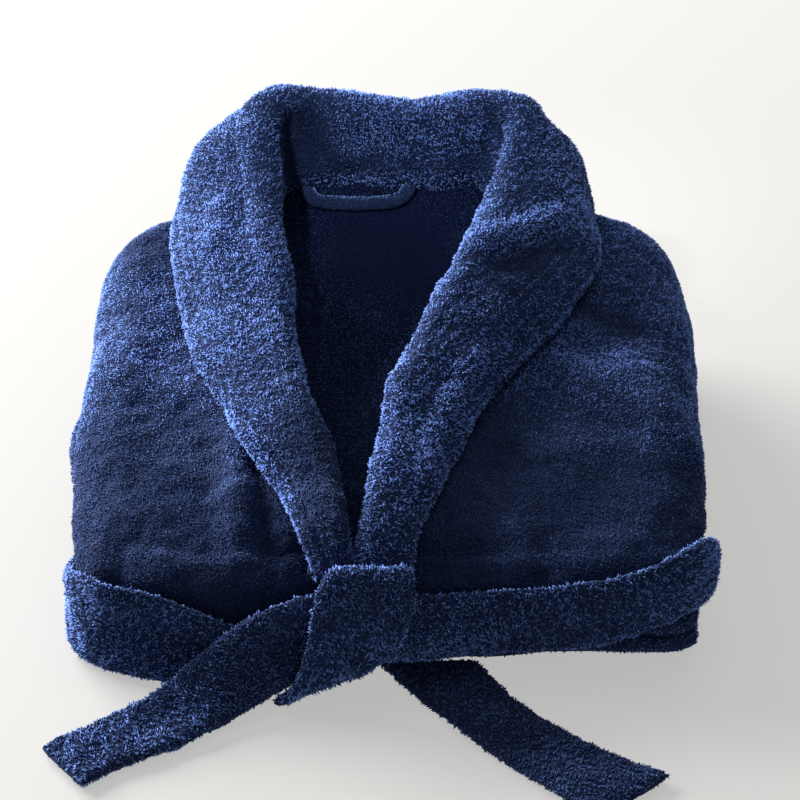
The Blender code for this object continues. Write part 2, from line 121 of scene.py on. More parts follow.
FRONT_LEFT = [
    (70, 235, 143.5, 76, 249, 144, 139, 6, 57),
    (84, 212, 129, 115, 254, 124, 96, 26, 57),
    (90, 192, 122, 170, 250, 120, 74, 32, 57),
    (88, 165, 119, 210, 229, 116, 64, 35, 57),
    (82, 135, 116, 222, 178, 111, 58, 38, 57),
    (72, 100, 112, 225, 110, 107, 57, 42, 57),
    (58, 60, 109, 222, 45, 102, 56, 44, 57),
    (42, 20, 107, 222, -20, 99, 56, 44, 57),
    (25, -20, 105, 218, -80, 97, 54, 44, 57),
    (14, -60, 102, 212, -130, 95, 52, 42, 54),
    (6, -100, 98, 198, -172, 92, 48, 40, 44),
    (0, -128, 95, 165, -190, 90, 45, 40, 36),
    (-4, -146, 92, 108, -195, 89, 44, 40, 10),
    (-8, -154, 91, 48, -197, 88, 44, 40, 8),
    (-10, -158, 90, -8, -197, 88, 44, 39, 8),
]
SEWN_FROM = -60
FRONT_TUCK = 8.0
FRONT_LOW = 4.0
TOP_SHARE = 0.42

# Collar: seam, crest of the roll and free edge (x, y, z each), radius of the roll, puff of the fall
COLLAR = [
    (-58, -198, 78, -40, -204, 84, -56, -208, 79, 5, 0),
    (-56, -172, 95, -41, -178, 107, -67, -183, 97, 6, 2),
    (-60, -122, 101, -48, -130, 116, -83, -135, 104, 9, 3),
    (-70, -82, 103, -55, -85, 122, -103, -88, 108, 11, 4),
    (-81, -40, 106, -68, -42, 128, -124, -40, 110, 12, 5),
    (-93, 3, 108, -80, 8, 134, -143, 10, 112, 13, 6),
    (-101, 52, 110, -84, 60, 140, -157, 60, 114, 13, 7),
    (-105, 100, 112, -89, 104, 148, -167, 112, 117, 13, 8),
    (-104, 150, 117, -97, 155, 163, -174, 172, 121, 14, 9),
    (-101, 204, 131, -104, 206, 187, -175, 228, 124, 14, 12),
    (-88, 242, 149, -103, 246, 218, -148, 277, 134, 13, 13),
    (-55, 244.5, 148.8, -66, 258, 219, -80, 287, 140, 11, 8),
    (-34, 245.2, 149, -38, 258, 211, -44, 288, 140, 11, 7),
    (0, 245.4, 149, 2, 258, 208, 4, 288, 140, 11, 7),
    (32, 244.5, 148.8, 36, 258, 212, 50, 286, 140, 11, 8),
    (65, 242, 149, 90, 247, 217, 127, 272, 136, 13, 10),
    (83, 208, 135, 84, 206, 192, 152, 230, 129, 14, 9),
    (88, 178, 126, 71, 172, 175, 153, 184, 127, 14, 7),
    (82, 140, 122, 60, 138, 164, 149, 144, 125, 14, 8),
    (72, 105, 119, 46, 105, 155, 135, 110, 123, 13, 8),
    (58, 64, 116, 29, 62, 147, 117, 68, 120, 13, 7),
    (42, 22, 113, 12, 22, 140, 88, 22, 116, 12, 6),
    (26, -18, 110, 3, -12, 134, 65, -18, 112, 12, 5),
    (14, -56, 107, -8, -45, 129, 51, -50, 110, 11, 5),
    (6, -90, 105, -12, -84, 122, 40, -88, 108, 10, 4),
    (1, -126, 102, -17, -132, 114, 25, -132, 103, 8, 3),
    (-4, -172, 96, -23, -179, 103, 10, -182, 95, 6, 2),
    (-8, -198, 78, -26, -204, 84, 6, -208, 79, 5, 0),
]
LOWER_SHARE, ROLL_SHARE = 0.2, 0.33
SEAM_TUCK = 6.0

# Belt: one edge and the other (x, y, z each), and how far the middle stands out from them
BELT_WRAP_LEFT = [
    (-34, -214, 72, -34, -213, 20, 9),
    (0, -214, 69, 0, -213, 20, 9),
    (45, -209, 68, 45, -208, 19, 6),
    (85, -205, 68, 85, -204, 18, 4),
    (128, -203.5, 72, 126, -203, 21, 3),
    (166, -200, 80, 162, -199, 29, 3),
    (193, -189, 86, 190, -188, 35, 3),
    (209, -171, 85, 207, -172, 34, 3),
    (217.5, -152, 75, 216.5, -156, 32, 3),
    (219.5, -134, 60, 219, -141, 33, 2),
    (216, -121, 50, 216, -128, 36, 1),
    (207, -114, 47, 207, -119, 38, 0),
]
BELT_WRAP_RIGHT = [
    (-92, -214, 34, -92, -240, 6, 3),
    (-114, -211, 40, -116, -236, 6, 4),
    (-140, -208, 51, -142, -228, 5.5, 5),
    (-168, -204, 61, -170, -218, 5.3, 5),
    (-196, -200, 67, -197, -209, 5.3, 4),
    (-218, -187, 66, -220, -196, 5.3, 3),
    (-230, -167, 57, -231, -178, 7, 3),
    (-234.5, -149, 48, -235, -160, 12, 3),
    (-234, -133, 43, -234.5, -144, 19, 2),
    (-229, -121, 43, -230, -128, 30, 1),
    (-219, -115, 45, -221, -119, 36, 0),
]
BELT_KNOT = [
    (-44, -214, 86, 4, -214, 88, 0),
    (-48, -222, 95, 6, -218, 97, 1),
    (-54, -232, 90, 8, -227, 88, 2),
    (-58, -239, 71, 5, -235, 66, 3),
    (-61, -242, 50, -3, -238, 47, 4),
    (-67, -245, 30, -12, -237, 33, 4),
    (-76, -248, 15, -22, -233, 23, 3),
    (-86, -247, 6.5, -30, -224, 14, 1),
]
BELT_TAIL_RIGHT = [
    (-36, -214, 72, -36, -213, 13, 9),
    (-57, -219, 74, -60, -227, 16, 7),
    (-79, -221, 69, -81, -243, 16, 7),
    (-97, -221, 60, -99, -256, 12, 6),
    (-114, -224, 50, -118, -269, 7.5, 5),
    (-133, -230, 36, -135, -283, 6, 6),
    (-155, -238, 19, -151, -295, 5.3, 5),
    (-172, -247, 9, -169, -306, 5.3, 3),
    (-193, -262, 5.5, -190, -318, 5.3, 1),
    (-243, -299, 5.3, -214, -340, 5.3, 1),
]
BELT_TAIL_LEFT = [
    (-12, -203, 5.3, 54, -203, 5.3, 0),
    (4, -226, 5.3, 71, -235, 5.3, 0),
    (26, -255, 5.3, 93, -263, 5.3, 1),
    (56, -293, 5.3, 121, -290, 5.3, 1),
    (84, -324, 5.3, 148, -310, 5.3, 1),
    (132, -377, 5.3, 180, -332, 5.3, 1),
]

# Skirt and sleeves: plan (x, y), and the edge from the bottom up: for the skirt inset and height,
# for a sleeve inset and share of its thickness
SKIRT_PLAN = [(-224, -150), (-208, -187), (-150, -187), (0, -187), (140, -186), (201, -184),
              (214, -146), (214, 20), (211, 160), (188, 220), (120, 240), (-20, 240),
              (-150, 240), (-208, 218), (-224, 160), (-226, 20)]
SKIRT_EDGE = [(40, 0), (7, 0), (2, 3), (0, 8), (2, 13), (6, 16), (2.5, 19), (1.5, 24), (5, 29.5),
              (14, SKIRT_TOP), (60, SKIRT_TOP)]
SLEEVE_RIGHT_PLAN = [(-224, -80), (-180, -112), (-90, -112), (-24, -100), (-15, -40),
                     (-14.5, 60), (-14.5, 160), (-17, 232), (-50, 242), (-100, 238),
                     (-190, 236), (-224, 200), (-229, 120), (-231, 20)]
SLEEVE_LEFT_PLAN = [(208, -80), (165, -112), (70, -112), (4, -100), (-8, -40), (-8.5, 60),
                    (-8.5, 160), (-6, 232), (30, 242), (90, 238), (170, 236), (208, 200),
                    (215, 120), (216, 20)]
SLEEVE_EDGE = [(40, 0), (5, 0), (0.5, 0.14), (0, 0.3), (4, 0.42), (1, 0.55), (1, 0.75), (8, 1),
               (24, 1), (46, 1), (74, 1)]
UNDER_BACK_STEP = 14.0
UNDER_BACK_GAP = 3.0

# Largest folds of the fronts: the line of the ridge (x, y to x, y), its height and half its width
FOLDS_RIGHT = [(-131, 20, -120, -125, 4, 17), (-120, -125, -113, -198, 4, 15),
               (-172, 70, -196, -90, -3, 22)]
FOLDS_LEFT = [(84, 70, 137, 12, 3, 18), (137, 12, 186, -22, 3, 16), (186, 20, 216, -70, 4, 12),
              (140, -40, 190, -150, -3, 20)]
FOLD_ENDS_AT = (68.0, 84.0)

# The fronts drop towards the belt and swell over the chest
SAG_FROM, SAG_RUN, BELT_SAG = 20.0, 205.0, 14.0
SWELL_AT, SWELL_HALF, CHEST_SWELL = 70.0, 90.0, 3.5

# Creases: the line (x, y, z points), height (less than 0 for a trough) and half width
CREASE_POINTS = 48
CREASE_FADE = 0.3
CREASES_RIGHT = [
    ([(-124, -20, 103), (-117, -80, 98), (-112, -140, 88), (-104, -198, 60)], 4.2, 9),
    ([(-106, -70, 98), (-96, -130, 91), (-84, -190, 68)], -4.2, 9),
    ([(-143, -25, 100), (-136, -90, 93), (-128, -184, 74)], -3.4, 10),
    ([(-78, -110, 96), (-74, -160, 90), (-70, -198, 70)], 2.2, 7),
    ([(-174, -110, 93), (-166, -160, 84), (-160, -198, 64)], 2.6, 11),
    ([(-200, -140, 86), (-196, -182, 67), (-194, -192, 50)], -4.0, 8),
    ([(-216, -120, 84), (-208, -168, 66), (-200, -186, 50)], 2.6, 8),
    ([(-228, 60, 88), (-236, 10, 78), (-238, -40, 72)], -3, 9),
    ([(-214, 110, 104), (-226, 40, 92), (-226, -40, 86)], 2, 12),
    ([(-190, 200, 116), (-150, 130, 112), (-140, 60, 106)], -1.6, 14),
    ([(-235, 150, 70), (-240, 60, 66), (-242, -20, 62)], -2.2, 7),
]
CREASES_LEFT = [
    ([(200, -20, 98), (222, -80, 78), (216, -140, 62)], 3.5, 9),
    ([(186, -60, 99), (212, -120, 82), (204, -170, 64)], -3, 9),
    ([(168, -90, 97), (190, -150, 84), (184, -184, 64)], 2.6, 9),
    ([(60, -130, 93), (66, -180, 88), (68, -200, 68)], -2.2, 9),
    ([(80, -130, 92), (84, -176, 84), (86, -198, 64)], 2.4, 9),
    ([(100, -150, 88), (100, -180, 76), (100, -194, 60)], -3.6, 8),
    ([(128, -130, 92), (134, -182, 84), (138, -198, 66)], 2.4, 10),
    ([(30, -140, 92), (36, -186, 88), (38, -200, 68)], 1.8, 8),
    ([(118, 124, 113), (166, 84, 109), (208, 78, 96)], -3.4, 14),
    ([(106, 40, 107), (144, 26, 106), (190, 40, 102)], 3.6, 17),
    ([(80, 12, 104), (62, -50, 100), (48, -110, 96)], -3.2, 13),
    ([(214, 0, 92), (220, -50, 84), (212, -110, 74)], 2.4, 5),
    ([(224, 120, 80), (226, 40, 74), (222, -20, 70)], -2.4, 8),
]
CREASES_COLLAR = [
    ([(-90, 247, 216), (-88, 244, 188), (-84, 243, 152)], -4.5, 9),
    ([(-72, 250, 206), (-62, 248, 186), (-56, 246, 164)], -2.2, 9),
    ([(-104, 240, 212), (-106, 224, 200), (-102, 206, 190)], 2.5, 8),
    ([(69, 249, 214), (72, 247, 204), (74, 244, 190)], -3.6, 5),
    ([(81, 243, 209), (83, 238, 195), (84, 214, 190)], -3.6, 5),
    ([(62, 250, 210), (60, 249, 196), (60, 247, 176)], 2.4, 6),
    ([(96, 238, 208), (104, 232, 190), (120, 244, 166)], -3, 8),
    ([(44, 96, 157), (60, 113, 163), (84, 132, 163), (114, 160, 160), (142, 206, 144)], 6.5, 9),
    ([(56, 80, 155), (84, 104, 156), (112, 128, 150), (140, 156, 136)], -6.5, 12),
    ([(86, 46, 131), (60, 6, 130), (36, -43, 124), (20, -109, 116), (6, -170, 100)], 3.2, 7),
    ([(66, 44, 137), (44, 6, 136), (22, -43, 128), (8, -106, 120)], -2.2, 7),
    ([(78, 52, 136), (70, 30, 134), (60, 22, 132)], -2.4, 5),
    ([(50, 14, 134), (44, -4, 131), (34, -10, 130)], 2.2, 6),
    ([(42, -14, 129), (32, -30, 127), (22, -34, 127)], -2.2, 5),
    ([(-134, 196, 166), (-137, 161, 154), (-138, 118, 143)], 3.2, 9),
    ([(-118, 190, 170), (-121, 150, 158), (-122, 112, 148)], -2.4, 9),
    ([(-158, 150, 136), (-154, 110, 132), (-150, 60, 126)], -2.2, 8),
    ([(-126, -24, 114), (-102, -84, 110), (-77, -156, 102)], 3.4, 6),
    ([(-112, -20, 119), (-89, -80, 114), (-66, -150, 106)], -2.6, 5),
    ([(-78, 0, 132), (-66, -50, 126), (-56, -110, 120), (-50, -170, 106)], -2.0, 9),
    ([(34, 70, 146), (66, 64, 142), (98, 70, 130)], -1.6, 12),
    ([(-40, 262, 208), (-34, 256, 190), (-30, 250, 172)], -1.8, 12),
    ([(10, 262, 205), (14, 256, 190), (16, 250, 170)], 1.8, 12),
]
CREASES_BACK = [
    ([(-60, 150, 104), (-20, 110, 96), (20, 90, 92)], 2.2, 14),
    ([(-50, 90, 92), (-30, 40, 86), (-24, -20, 80)], -2.2, 12),
    ([(30, 170, 106), (10, 130, 98), (-10, 60, 90)], -2, 14),
    ([(-70, 200, 118), (-50, 170, 108), (-46, 130, 100)], 1.6, 12),
]
CREASES_BELT = [
    ([(-120, -214, 30), (-150, -214, 32), (-176, -208, 36)], -2, 9),
    ([(-200, -206, 22), (-222, -190, 30), (-234, -164, 36)], 2, 9),
    ([(60, -212, 50), (100, -208, 34), (140, -206, 26)], -1.6, 10),
    ([(20, -216, 30), (50, -212, 40), (90, -208, 56)], 1.5, 9),
    ([(-60, -226, 60), (-84, -236, 44), (-104, -240, 24)], -3, 7),
    ([(-52, -224, 40), (-76, -236, 30), (-96, -246, 16)], 2, 8),
    ([(-150, -250, 16), (-158, -270, 12), (-156, -290, 10)], -3, 7),
    ([(-138, -246, 26), (-146, -268, 18), (-146, -288, 12)], 2.5, 8),
    ([(-200, -280, 9), (-214, -296, 9), (-222, -312, 9)], 1.5, 10),
    ([(-20, -242, 80), (-30, -246, 56), (-44, -248, 34)], -2.2, 8),
    ([(-6, -236, 82), (-12, -240, 60), (-24, -243, 40)], 2, 7),
    ([(-46, -244, 74), (-52, -247, 52), (-62, -250, 32)], 2, 8),
    ([(40, -240, 10), (60, -250, 10), (84, -256, 10)], -1.8, 10),
    ([(80, -290, 10), (104, -300, 10), (130, -304, 10)], 1.6, 12),
]
CREASES_LAYERS = [
    ([(-150, -190, 24), (-90, -190, 21), (-20, -190, 26)], 1.5, 7),
    ([(60, -190, 10), (130, -190, 13), (190, -184, 9)], 1.5, 7),
    ([(216, -100, 24), (218, -20, 21), (216, 60, 26)], 2, 8),
    ([(214, 40, 10), (214, 110, 12), (210, 170, 9)], -2, 8),
    ([(-226, -60, 10), (-228, 0, 13), (-228, 70, 8)], 2, 8),
    ([(-226, 20, 26), (-227, 90, 22), (-224, 150, 27)], -2, 8),
    ([(-120, 242, 10), (-40, 243, 14), (40, 243, 9)], 2, 8),
    ([(-180, 240, 26), (-100, 243, 22), (-30, 243, 27)], -2, 8),
]

# Painted light and shade on the pile: its limits, its change for each millimetre that a crease
# rises (painted light on ridges, painted shade in troughs), and how much darker it gets down the
# fronts towards the belt (painted shade)
SHADE_LEAST, SHADE_MOST = 0.1, 2.0
CREASE_PAINTED_LIGHT = 0.07
BELT_PAINTED_SHADE_FROM, BELT_PAINTED_SHADE_RUN, BELT_PAINTED_SHADE = 60.0, 190.0, 0.6

# Painted light (more than 0) and painted shade along lines, partly for nap brushed another way:
# line, change of shade, half width
PAINTED_LIGHT_AND_NAP_RIGHT = [
    ([(-196, 120, 108), (-190, 70, 106), (-190, 20, 102)], 0.2, 36),
    ([(-230, 186, 108), (-198, 196, 117), (-150, 206, 120)], -0.7, 34),
    ([(-214, 0, 92), (-206, -60, 92), (-200, -130, 84)], -0.2, 26),
    ([(-124, -20, 103), (-117, -80, 98), (-104, -198, 60)], 0.7, 7),
    ([(-104, -94, 96), (-92, -147, 88), (-83, -190, 67)], -0.25, 10),
    ([(-140, -60, 98), (-133, -110, 92), (-127, -180, 76)], -0.2, 10),
    ([(-196, -150, 75), (-196, -182, 67), (-194, -192, 52)], -0.4, 10),
]
PAINTED_LIGHT_AND_NAP_LEFT = [
    ([(100, 44, 107), (144, 28, 106), (190, 44, 102)], 0.8, 22),
    ([(40, -110, 96), (120, -110, 94), (196, -90, 90)], -0.5, 50),
    ([(118, 124, 113), (150, 100, 109), (208, 90, 96)], -0.2, 18),
    ([(80, 12, 104), (58, -60, 100), (35, -149, 90)], -0.25, 22),
    ([(215, 60, 96), (216, 0, 90), (214, -60, 84)], 0.15, 16),
]
PAINTED_LIGHT_AND_NAP_BACK = [
    ([(-76, 205, 118), (-10, 196, 112), (60, 205, 118)], -0.85, 50),
    ([(-70, 84, 94), (-20, 66, 90), (44, 88, 92)], 0.8, 22),
]
PAINTED_LIGHT_AND_NAP_COLLAR = [
    ([(-88, 247, 224), (-86, 244, 186), (-82, 240, 136)], -0.88, 17),
    ([(-76, 250, 206), (-62, 248, 184), (-55, 246, 158)], -0.6, 14),
    ([(-104, 226, 200), (-99, 190, 172), (-92, 150, 152)], -0.4, 9),
    ([(-66, 250, 206), (-1, 249, 194), (72, 250, 206)], 0.6, 24),
    ([(-72, 243, 150), (-36, 245, 150), (36, 245, 150), (70, 243, 150)], 2.6, 3),
    ([(69, 249, 214), (72, 247, 204), (74, 244, 190)], -0.6, 5),
    ([(81, 243, 209), (83, 238, 194), (84, 212, 188)], -0.6, 5),
    ([(42, 94, 157), (60, 113, 163), (88, 132, 163), (142, 206, 144)], 0.8, 10),
    ([(50, 76, 154), (89, 95, 149), (122, 126, 142)], -0.6, 22),
    ([(117, 140, 152), (132, 136, 139), (142, 126, 126)], -0.3, 16),
    ([(90, 50, 130), (59, 4, 129), (36, -43, 123), (18, -112, 116), (6, -180, 98)], 0.6, 8),
    ([(6, -10, 137), (-3, -97, 125), (-15, -170, 108)], 0.45, 14),
    ([(-133, 200, 170), (-119, 81, 143), (-102, -16, 133)], 0.25, 34),
    ([(-72, -40, 128), (-56, -130, 118), (-44, -216, 90)], -0.75, 28),
    ([(-130, -20, 113), (-101, -87, 110), (-76, -157, 102), (-57, -206, 82)], 1.5, 6),
    ([(-178, 160, 121), (-172, 100, 118), (-146, 6, 112)], 0.5, 6),
]
# Painted shade on the collar's stand just above the neck seam, under the roll: place and half width
# across the collar, and how much darker
STAND_AT, STAND_HALF, STAND_PAINTED_SHADE = 0.06, 0.03, 0.55

# Stitch line along the collar's free edge: distance from the edge, depth, half width, lost loops
STITCH_IN = 12.0
STITCH_DEEP = 1.44
STITCH_HALF = 2.2
STITCH_BARE = 0.45

# Hanging loop: its route (x, y, z), round the band's middle, sewn at both ends to the neck seam
LOOP = [(-72, 238.5, 146), (-72, 236, 144.5), (-69, 231, 141), (-60, 228.2, 138.6),
        (-8, 228.2, 138.6), (1, 231, 141.2), (6, 235, 145), (7, 238, 148)]
LOOP_WIDTH = 9.0
LOOP_FACES = (0, -0.9, 0.44)
# Painted shade on the band's faces and a painted highlight on its upper edge, at these places of
# its rings
LOOP_FACE_PAINTED_SHADE, LOOP_EDGE_PAINTED_LIGHT = 0.32, 2.4
LOOP_LIT_EDGE = [0, 1, 16]
LOOP_GAP = 1.3

# Pile: how deep a loop's feet sink, how far its place is moved about its square, its spread of
# sizes, the heights of its low and high end, and how much it turns, alone and with those near it
TUFT_SINK = 0.7
JITTER = 0.42
SIZES = (0.7, 1.3)
LOW_END, HIGH_END = (0.1, 0.6), (0.75, 1.15)
TURN_ALONE, TURN_TOGETHER, TURNED = 0.7, 1.3, 22
# Size of the clumps, and how much a loop's tone follows them: painted shade on low loops between
# clumps
CLUMP, CLUMP_TONE = 5.0, 0.7
# Tip value at a loop's two ends and two feet: the feet take the deep colour, painted shade
TIP_TONES = (0.6, 1.0, 0.0, 0.0)
# Share of loops at the fronts' collar seam and on the belt's hidden face, and how much further
# apart they are on the folded layers. The back's loops reach this far from the middle of the neck.
SEAM_LOOPS, HIDDEN_LOOPS, LAYER_GAP = 0.3, 0.25, 1.12
BELT_HIDDEN = slice(20, 32)
NECK_REACH = 118

# A loop's height, length and width, and how much its height varies in clumps
BODY_PILE = (1.6, 1.8, 1.25, 0.35)
INSIDE_PILE = (1.2, 1.9, 1.1, 0.3)
COLLAR_PILE = (2.2, 1.9, 1.45, 0.6)
BELT_PILE = (2.6, 2.3, 1.5, 0.65)
LOOP_PILE = (0.6, 1.6, 0.85, 0.2)

# Cloth under the loops, slow patches of the nap, and brightness as shares of the bright colour:
# painted shade on the cloth between the loops and on the inside of the back, painted light on the
# hanging loop
GRAIN, GRAIN_BUMP, GRAIN_DEEP = 620.0, 0.6, 0.0015
NAP_PATCHES = 38.0
LOOP_LIGHT = 2.35
BETWEEN_PAINTED_SHADE, INSIDE_PAINTED_SHADE, LINING_PAINTED_SHADE, HANGER_PAINTED_LIGHT = 0.36, 0.34, 0.04, 1.7
# Less sheen on the inside of the back, part of its painted shade
INSIDE_FUZZ = 0.3


def spline(stations, count, share=None):
    """Points on the natural cubic spline through the stations, spaced by distance in their first
    three numbers. share, if given, holds the places wanted, from 0 to 1."""
    rows = np.array(stations, float)
    steps = np.linalg.norm(np.diff(rows[:, :3], axis=0), axis=1)
    knots = np.concatenate([[0], np.cumsum(np.sqrt(steps))])
    knots = knots / knots[-1]
    gaps = np.diff(knots)
    last = len(rows) - 1
    system = np.eye(last + 1)
    bends = np.zeros_like(rows)
    for i in range(1, last):
        system[i, i - 1:i + 2] = gaps[i - 1], 2 * (gaps[i - 1] + gaps[i]), gaps[i]
        rise = (rows[i + 1] - rows[i]) / gaps[i]
        fall = (rows[i] - rows[i - 1]) / gaps[i - 1]
        bends[i] = 6 * (rise - fall)
    bends = np.linalg.solve(system, bends)
    t = np.linspace(0, 1, count) if share is None else np.asarray(share, float)
    i = np.clip(np.searchsorted(knots, t, side="right") - 1, 0, last - 1)
    left = (t - knots[i])[:, None]
    right = (knots[i + 1] - t)[:, None]
    gap = gaps[i][:, None]
    return (
        (bends[i] * right**3 + bends[i + 1] * left**3) / (6 * gap)
        + (rows[i] / gap - bends[i] * gap / 6) * right
        + (rows[i + 1] / gap - bends[i + 1] * gap / 6) * left
    )


def unit(vectors):
    """The vectors at length 1."""
    return vectors / np.maximum(np.linalg.norm(vectors, axis=-1, keepdims=True), 1e-9)


def normals(grid):
    """Unit normals of a grid of points, from the directions of its rows and columns."""
    return unit(np.cross(np.gradient(grid, axis=0), np.gradient(grid, axis=1)))


def eased(share):
    """A smooth step from 0 to 1."""
    share = np.clip(share, 0, 1)
    return share * share * (3 - 2 * share)


def waves(points, size, seed):
    """A smooth random height for each point: the sum of sine waves in random directions, each about
    one size long, scaled so that most heights lie between -1 and 1."""
    count = 14
    rng = np.random.default_rng(seed)
    lengths = size * rng.uniform(0.7, 1.6, (count, 1))
    directions = unit(rng.normal(size=(count, 3))) * 2 * pi / lengths
    shift = rng.uniform(0, 2 * pi, count)
    return np.sin(points @ directions.T + shift).sum(axis=-1) / np.sqrt(count / 2)


def crease_lift(grid, creases):
    """How far each point is moved out by the creases: each one's height times exp(-(d / width)^2),
    where d is the distance to its line, fading out towards both ends of the line."""
    lift = np.zeros(grid.shape[:2])
    for points, height, width in creases:
        line = spline(points, CREASE_POINTS)
        away = np.linalg.norm(grid[:, :, None, :] - line, axis=-1)
        near = away.argmin(axis=-1) / (CREASE_POINTS - 1)
        ends = eased(np.minimum(near, 1 - near) / CREASE_FADE)
        lift += height * np.exp(-(away.min(axis=-1) / width) ** 2) * ends
    return lift


def rumpled(grid, out, creases, seed, swell=0.9, ripple=0.35):
    """The grid with its creases, a slow swell and a fine ripple, moved along the outward normals,
    and how far each point moved."""
    lift = crease_lift(grid, creases)
    lift = lift + swell * waves(grid, 62, seed) + ripple * waves(grid, 17, seed + 1)
    return grid + out * lift[..., None], lift


def nap(grid, lift, light_and_nap_lines=()):
    """Painted light and shade on the pile: 1, painted light on ridges and painted shade in troughs,
    plus painted light and shade along lines, partly for nap brushed another way.
    """
    shade = 1 + CREASE_PAINTED_LIGHT * lift + crease_lift(grid, light_and_nap_lines)
    return np.clip(shade, SHADE_LEAST, SHADE_MOST)


def side_at(side, y):
    """x of the widest line of the top layer at this y."""
    curve = spline([(x, depth, 0) for x, depth in side], 200)
    order = np.argsort(curve[:, 1])
    return np.interp(y, curve[order, 1], curve[order, 0])


def height_along(profile, y):
    """Height at this y of a smooth curve through the profile."""
    curve = spline([(depth, z, 0) for depth, z in profile], 100)
    return np.interp(y, curve[:, 0], curve[:, 1])


def neck_hump(x):
    """1 across the neck and 0 at the shoulders, where the back lies flat."""
    return 1 / (1 + (np.abs(x - NECK_X) / NECK_HALF) ** 10)


def distance_to_edge(x, y):
    """Distance in plan to the widest line of the top layer, leaving out the neck."""
    stretches = [spline([(px, py, 0) for px, py in side], 160) for side in (LEFT_SIDE, RIGHT_SIDE)]
    line = np.concatenate(stretches)
    return np.hypot(x[..., None] - line[:, 0], y[..., None] - line[:, 1]).min(axis=-1)


def back_height(x, y):
    """Height of the middle of the back's cloth."""
    hump = neck_hump(x)
    inner = height_along(BACK_SIDES, y) * (1 - hump) + height_along(BACK_MIDDLE, y) * hump
    side = eased((distance_to_edge(x, y) - 6) / 50)
    rise = side * (1 - hump) + hump
    return SIDE_SEAM + (inner - SIDE_SEAM) * rise


def back_grid(rows, columns):
    """From the neck and shoulder seams forward to the front fold, and from side to side."""
    along = 1 - np.cos(np.linspace(0, 1, rows) * pi / 2)
    across = np.sin(np.linspace(-1, 1, columns) * pi / 2)
    y = BACK_REAR - along * (BACK_REAR - BACK_FRONT)
    left, right = side_at(LEFT_SIDE, y) + BACK_INSET, side_at(RIGHT_SIDE, y) - BACK_INSET
    x = (left + right)[:, None] / 2 + (right - left)[:, None] / 2 * across[None, :]
    shoulder = np.clip((np.abs(x - NECK_X) - NECK_SEAM_HALF) / SHOULDER_RUN, 0, 1)
    depth = y[:, None] - SHOULDER_STEP * shoulder * (1 - along[:, None])
    return np.stack([x, depth, back_height(x, depth)], -1)


def front_grid(stations, rows, columns):
    """Each row runs from the collar seam over the top and round the rounded edge: a straight run
    to the start of the edge, then two quarters of ellipses, out and down and then in under it."""
    cut = spline(stations, rows)
    seam, wide = cut[:, :3], cut[:, 3:5]
    top, middle, radius = cut[:, 5], cut[:, 6], cut[:, 7]
    out = unit(wide - seam[:, :2])
    crest = wide - out * radius[:, None]
    sewn = back_height(wide[:, 0], np.minimum(wide[:, 1], 250)) + HALF + CLEAR
    end = np.where(wide[:, 1] > SEWN_FROM, sewn, cut[:, 8])
    upper = np.clip((end - middle) / (top - middle), 0, 1)
    lower = np.clip((middle - end) / (middle - FRONT_LOW), 0, 1)
    last = np.where(end > middle, np.arccos(upper), pi - np.arccos(lower))
    share = np.linspace(0, 1, columns)
    run = np.clip(share / TOP_SHARE, 0, 1)
    turn = np.clip((share - TOP_SHARE) / (1 - TOP_SHARE), 0, 1)
    angle = last[:, None] * turn[None, :]
    reach = np.where(angle < pi / 2, radius[:, None] * np.sin(angle),
                     radius[:, None] - FRONT_TUCK * (1 - np.sin(angle)))
    fall = np.where(angle < pi / 2, (top - middle)[:, None], (middle - FRONT_LOW)[:, None])
    flat = seam[:, None, :2] + (crest - seam[:, :2])[:, None, :] * run[None, :, None]
    plan = flat + out[:, None, :] * reach[:, :, None]
    rise = np.sin(run * pi / 2)[None, :]
    z = seam[:, 2:] + (top - seam[:, 2])[:, None] * rise
    z = np.where(turn[None, :] > 0, middle[:, None] + fall * np.cos(angle), z)
    return np.concatenate([plan, z[:, :, None]], -1)


def fold_lift(grid, folds):
    """Height of the largest folds: for each, its height times exp(-(d / width)^2), where d is the
    distance in plan to its line. They die out above the belt and at the collar seam."""
    low, high = FOLD_ENDS_AT
    lift = np.zeros(grid.shape[:2])
    for x0, y0, x1, y1, height, width in folds:
        run, rise = x1 - x0, y1 - y0
        share = ((grid[..., 0] - x0) * run + (grid[..., 1] - y0) * rise) / (run**2 + rise**2)
        share = np.clip(share, 0, 1)
        away = np.hypot(grid[..., 0] - x0 - run * share, grid[..., 1] - y0 - rise * share)
        lift = lift + height * np.exp(-(away / width) ** 2)
    across = eased(np.linspace(0, 1, grid.shape[1]) * 6)[None, :]
    return lift * across * eased((grid[..., 2] - low) / (high - low))


def front_sag(grid):
    """How far the fronts drop towards the belt, away from the collar, and swell over the chest."""
    share = np.linspace(0, 1, grid.shape[1])[None, :]
    off_collar = eased((share - 0.06) / 0.3) * eased((grid[..., 2] - 60) / 30)
    drop = eased((SAG_FROM - grid[..., 1]) / SAG_RUN)
    swell = np.exp(-((grid[..., 1] - SWELL_AT) / SWELL_HALF) ** 2)
    return off_collar * (CHEST_SWELL * swell - BELT_SAG * drop)


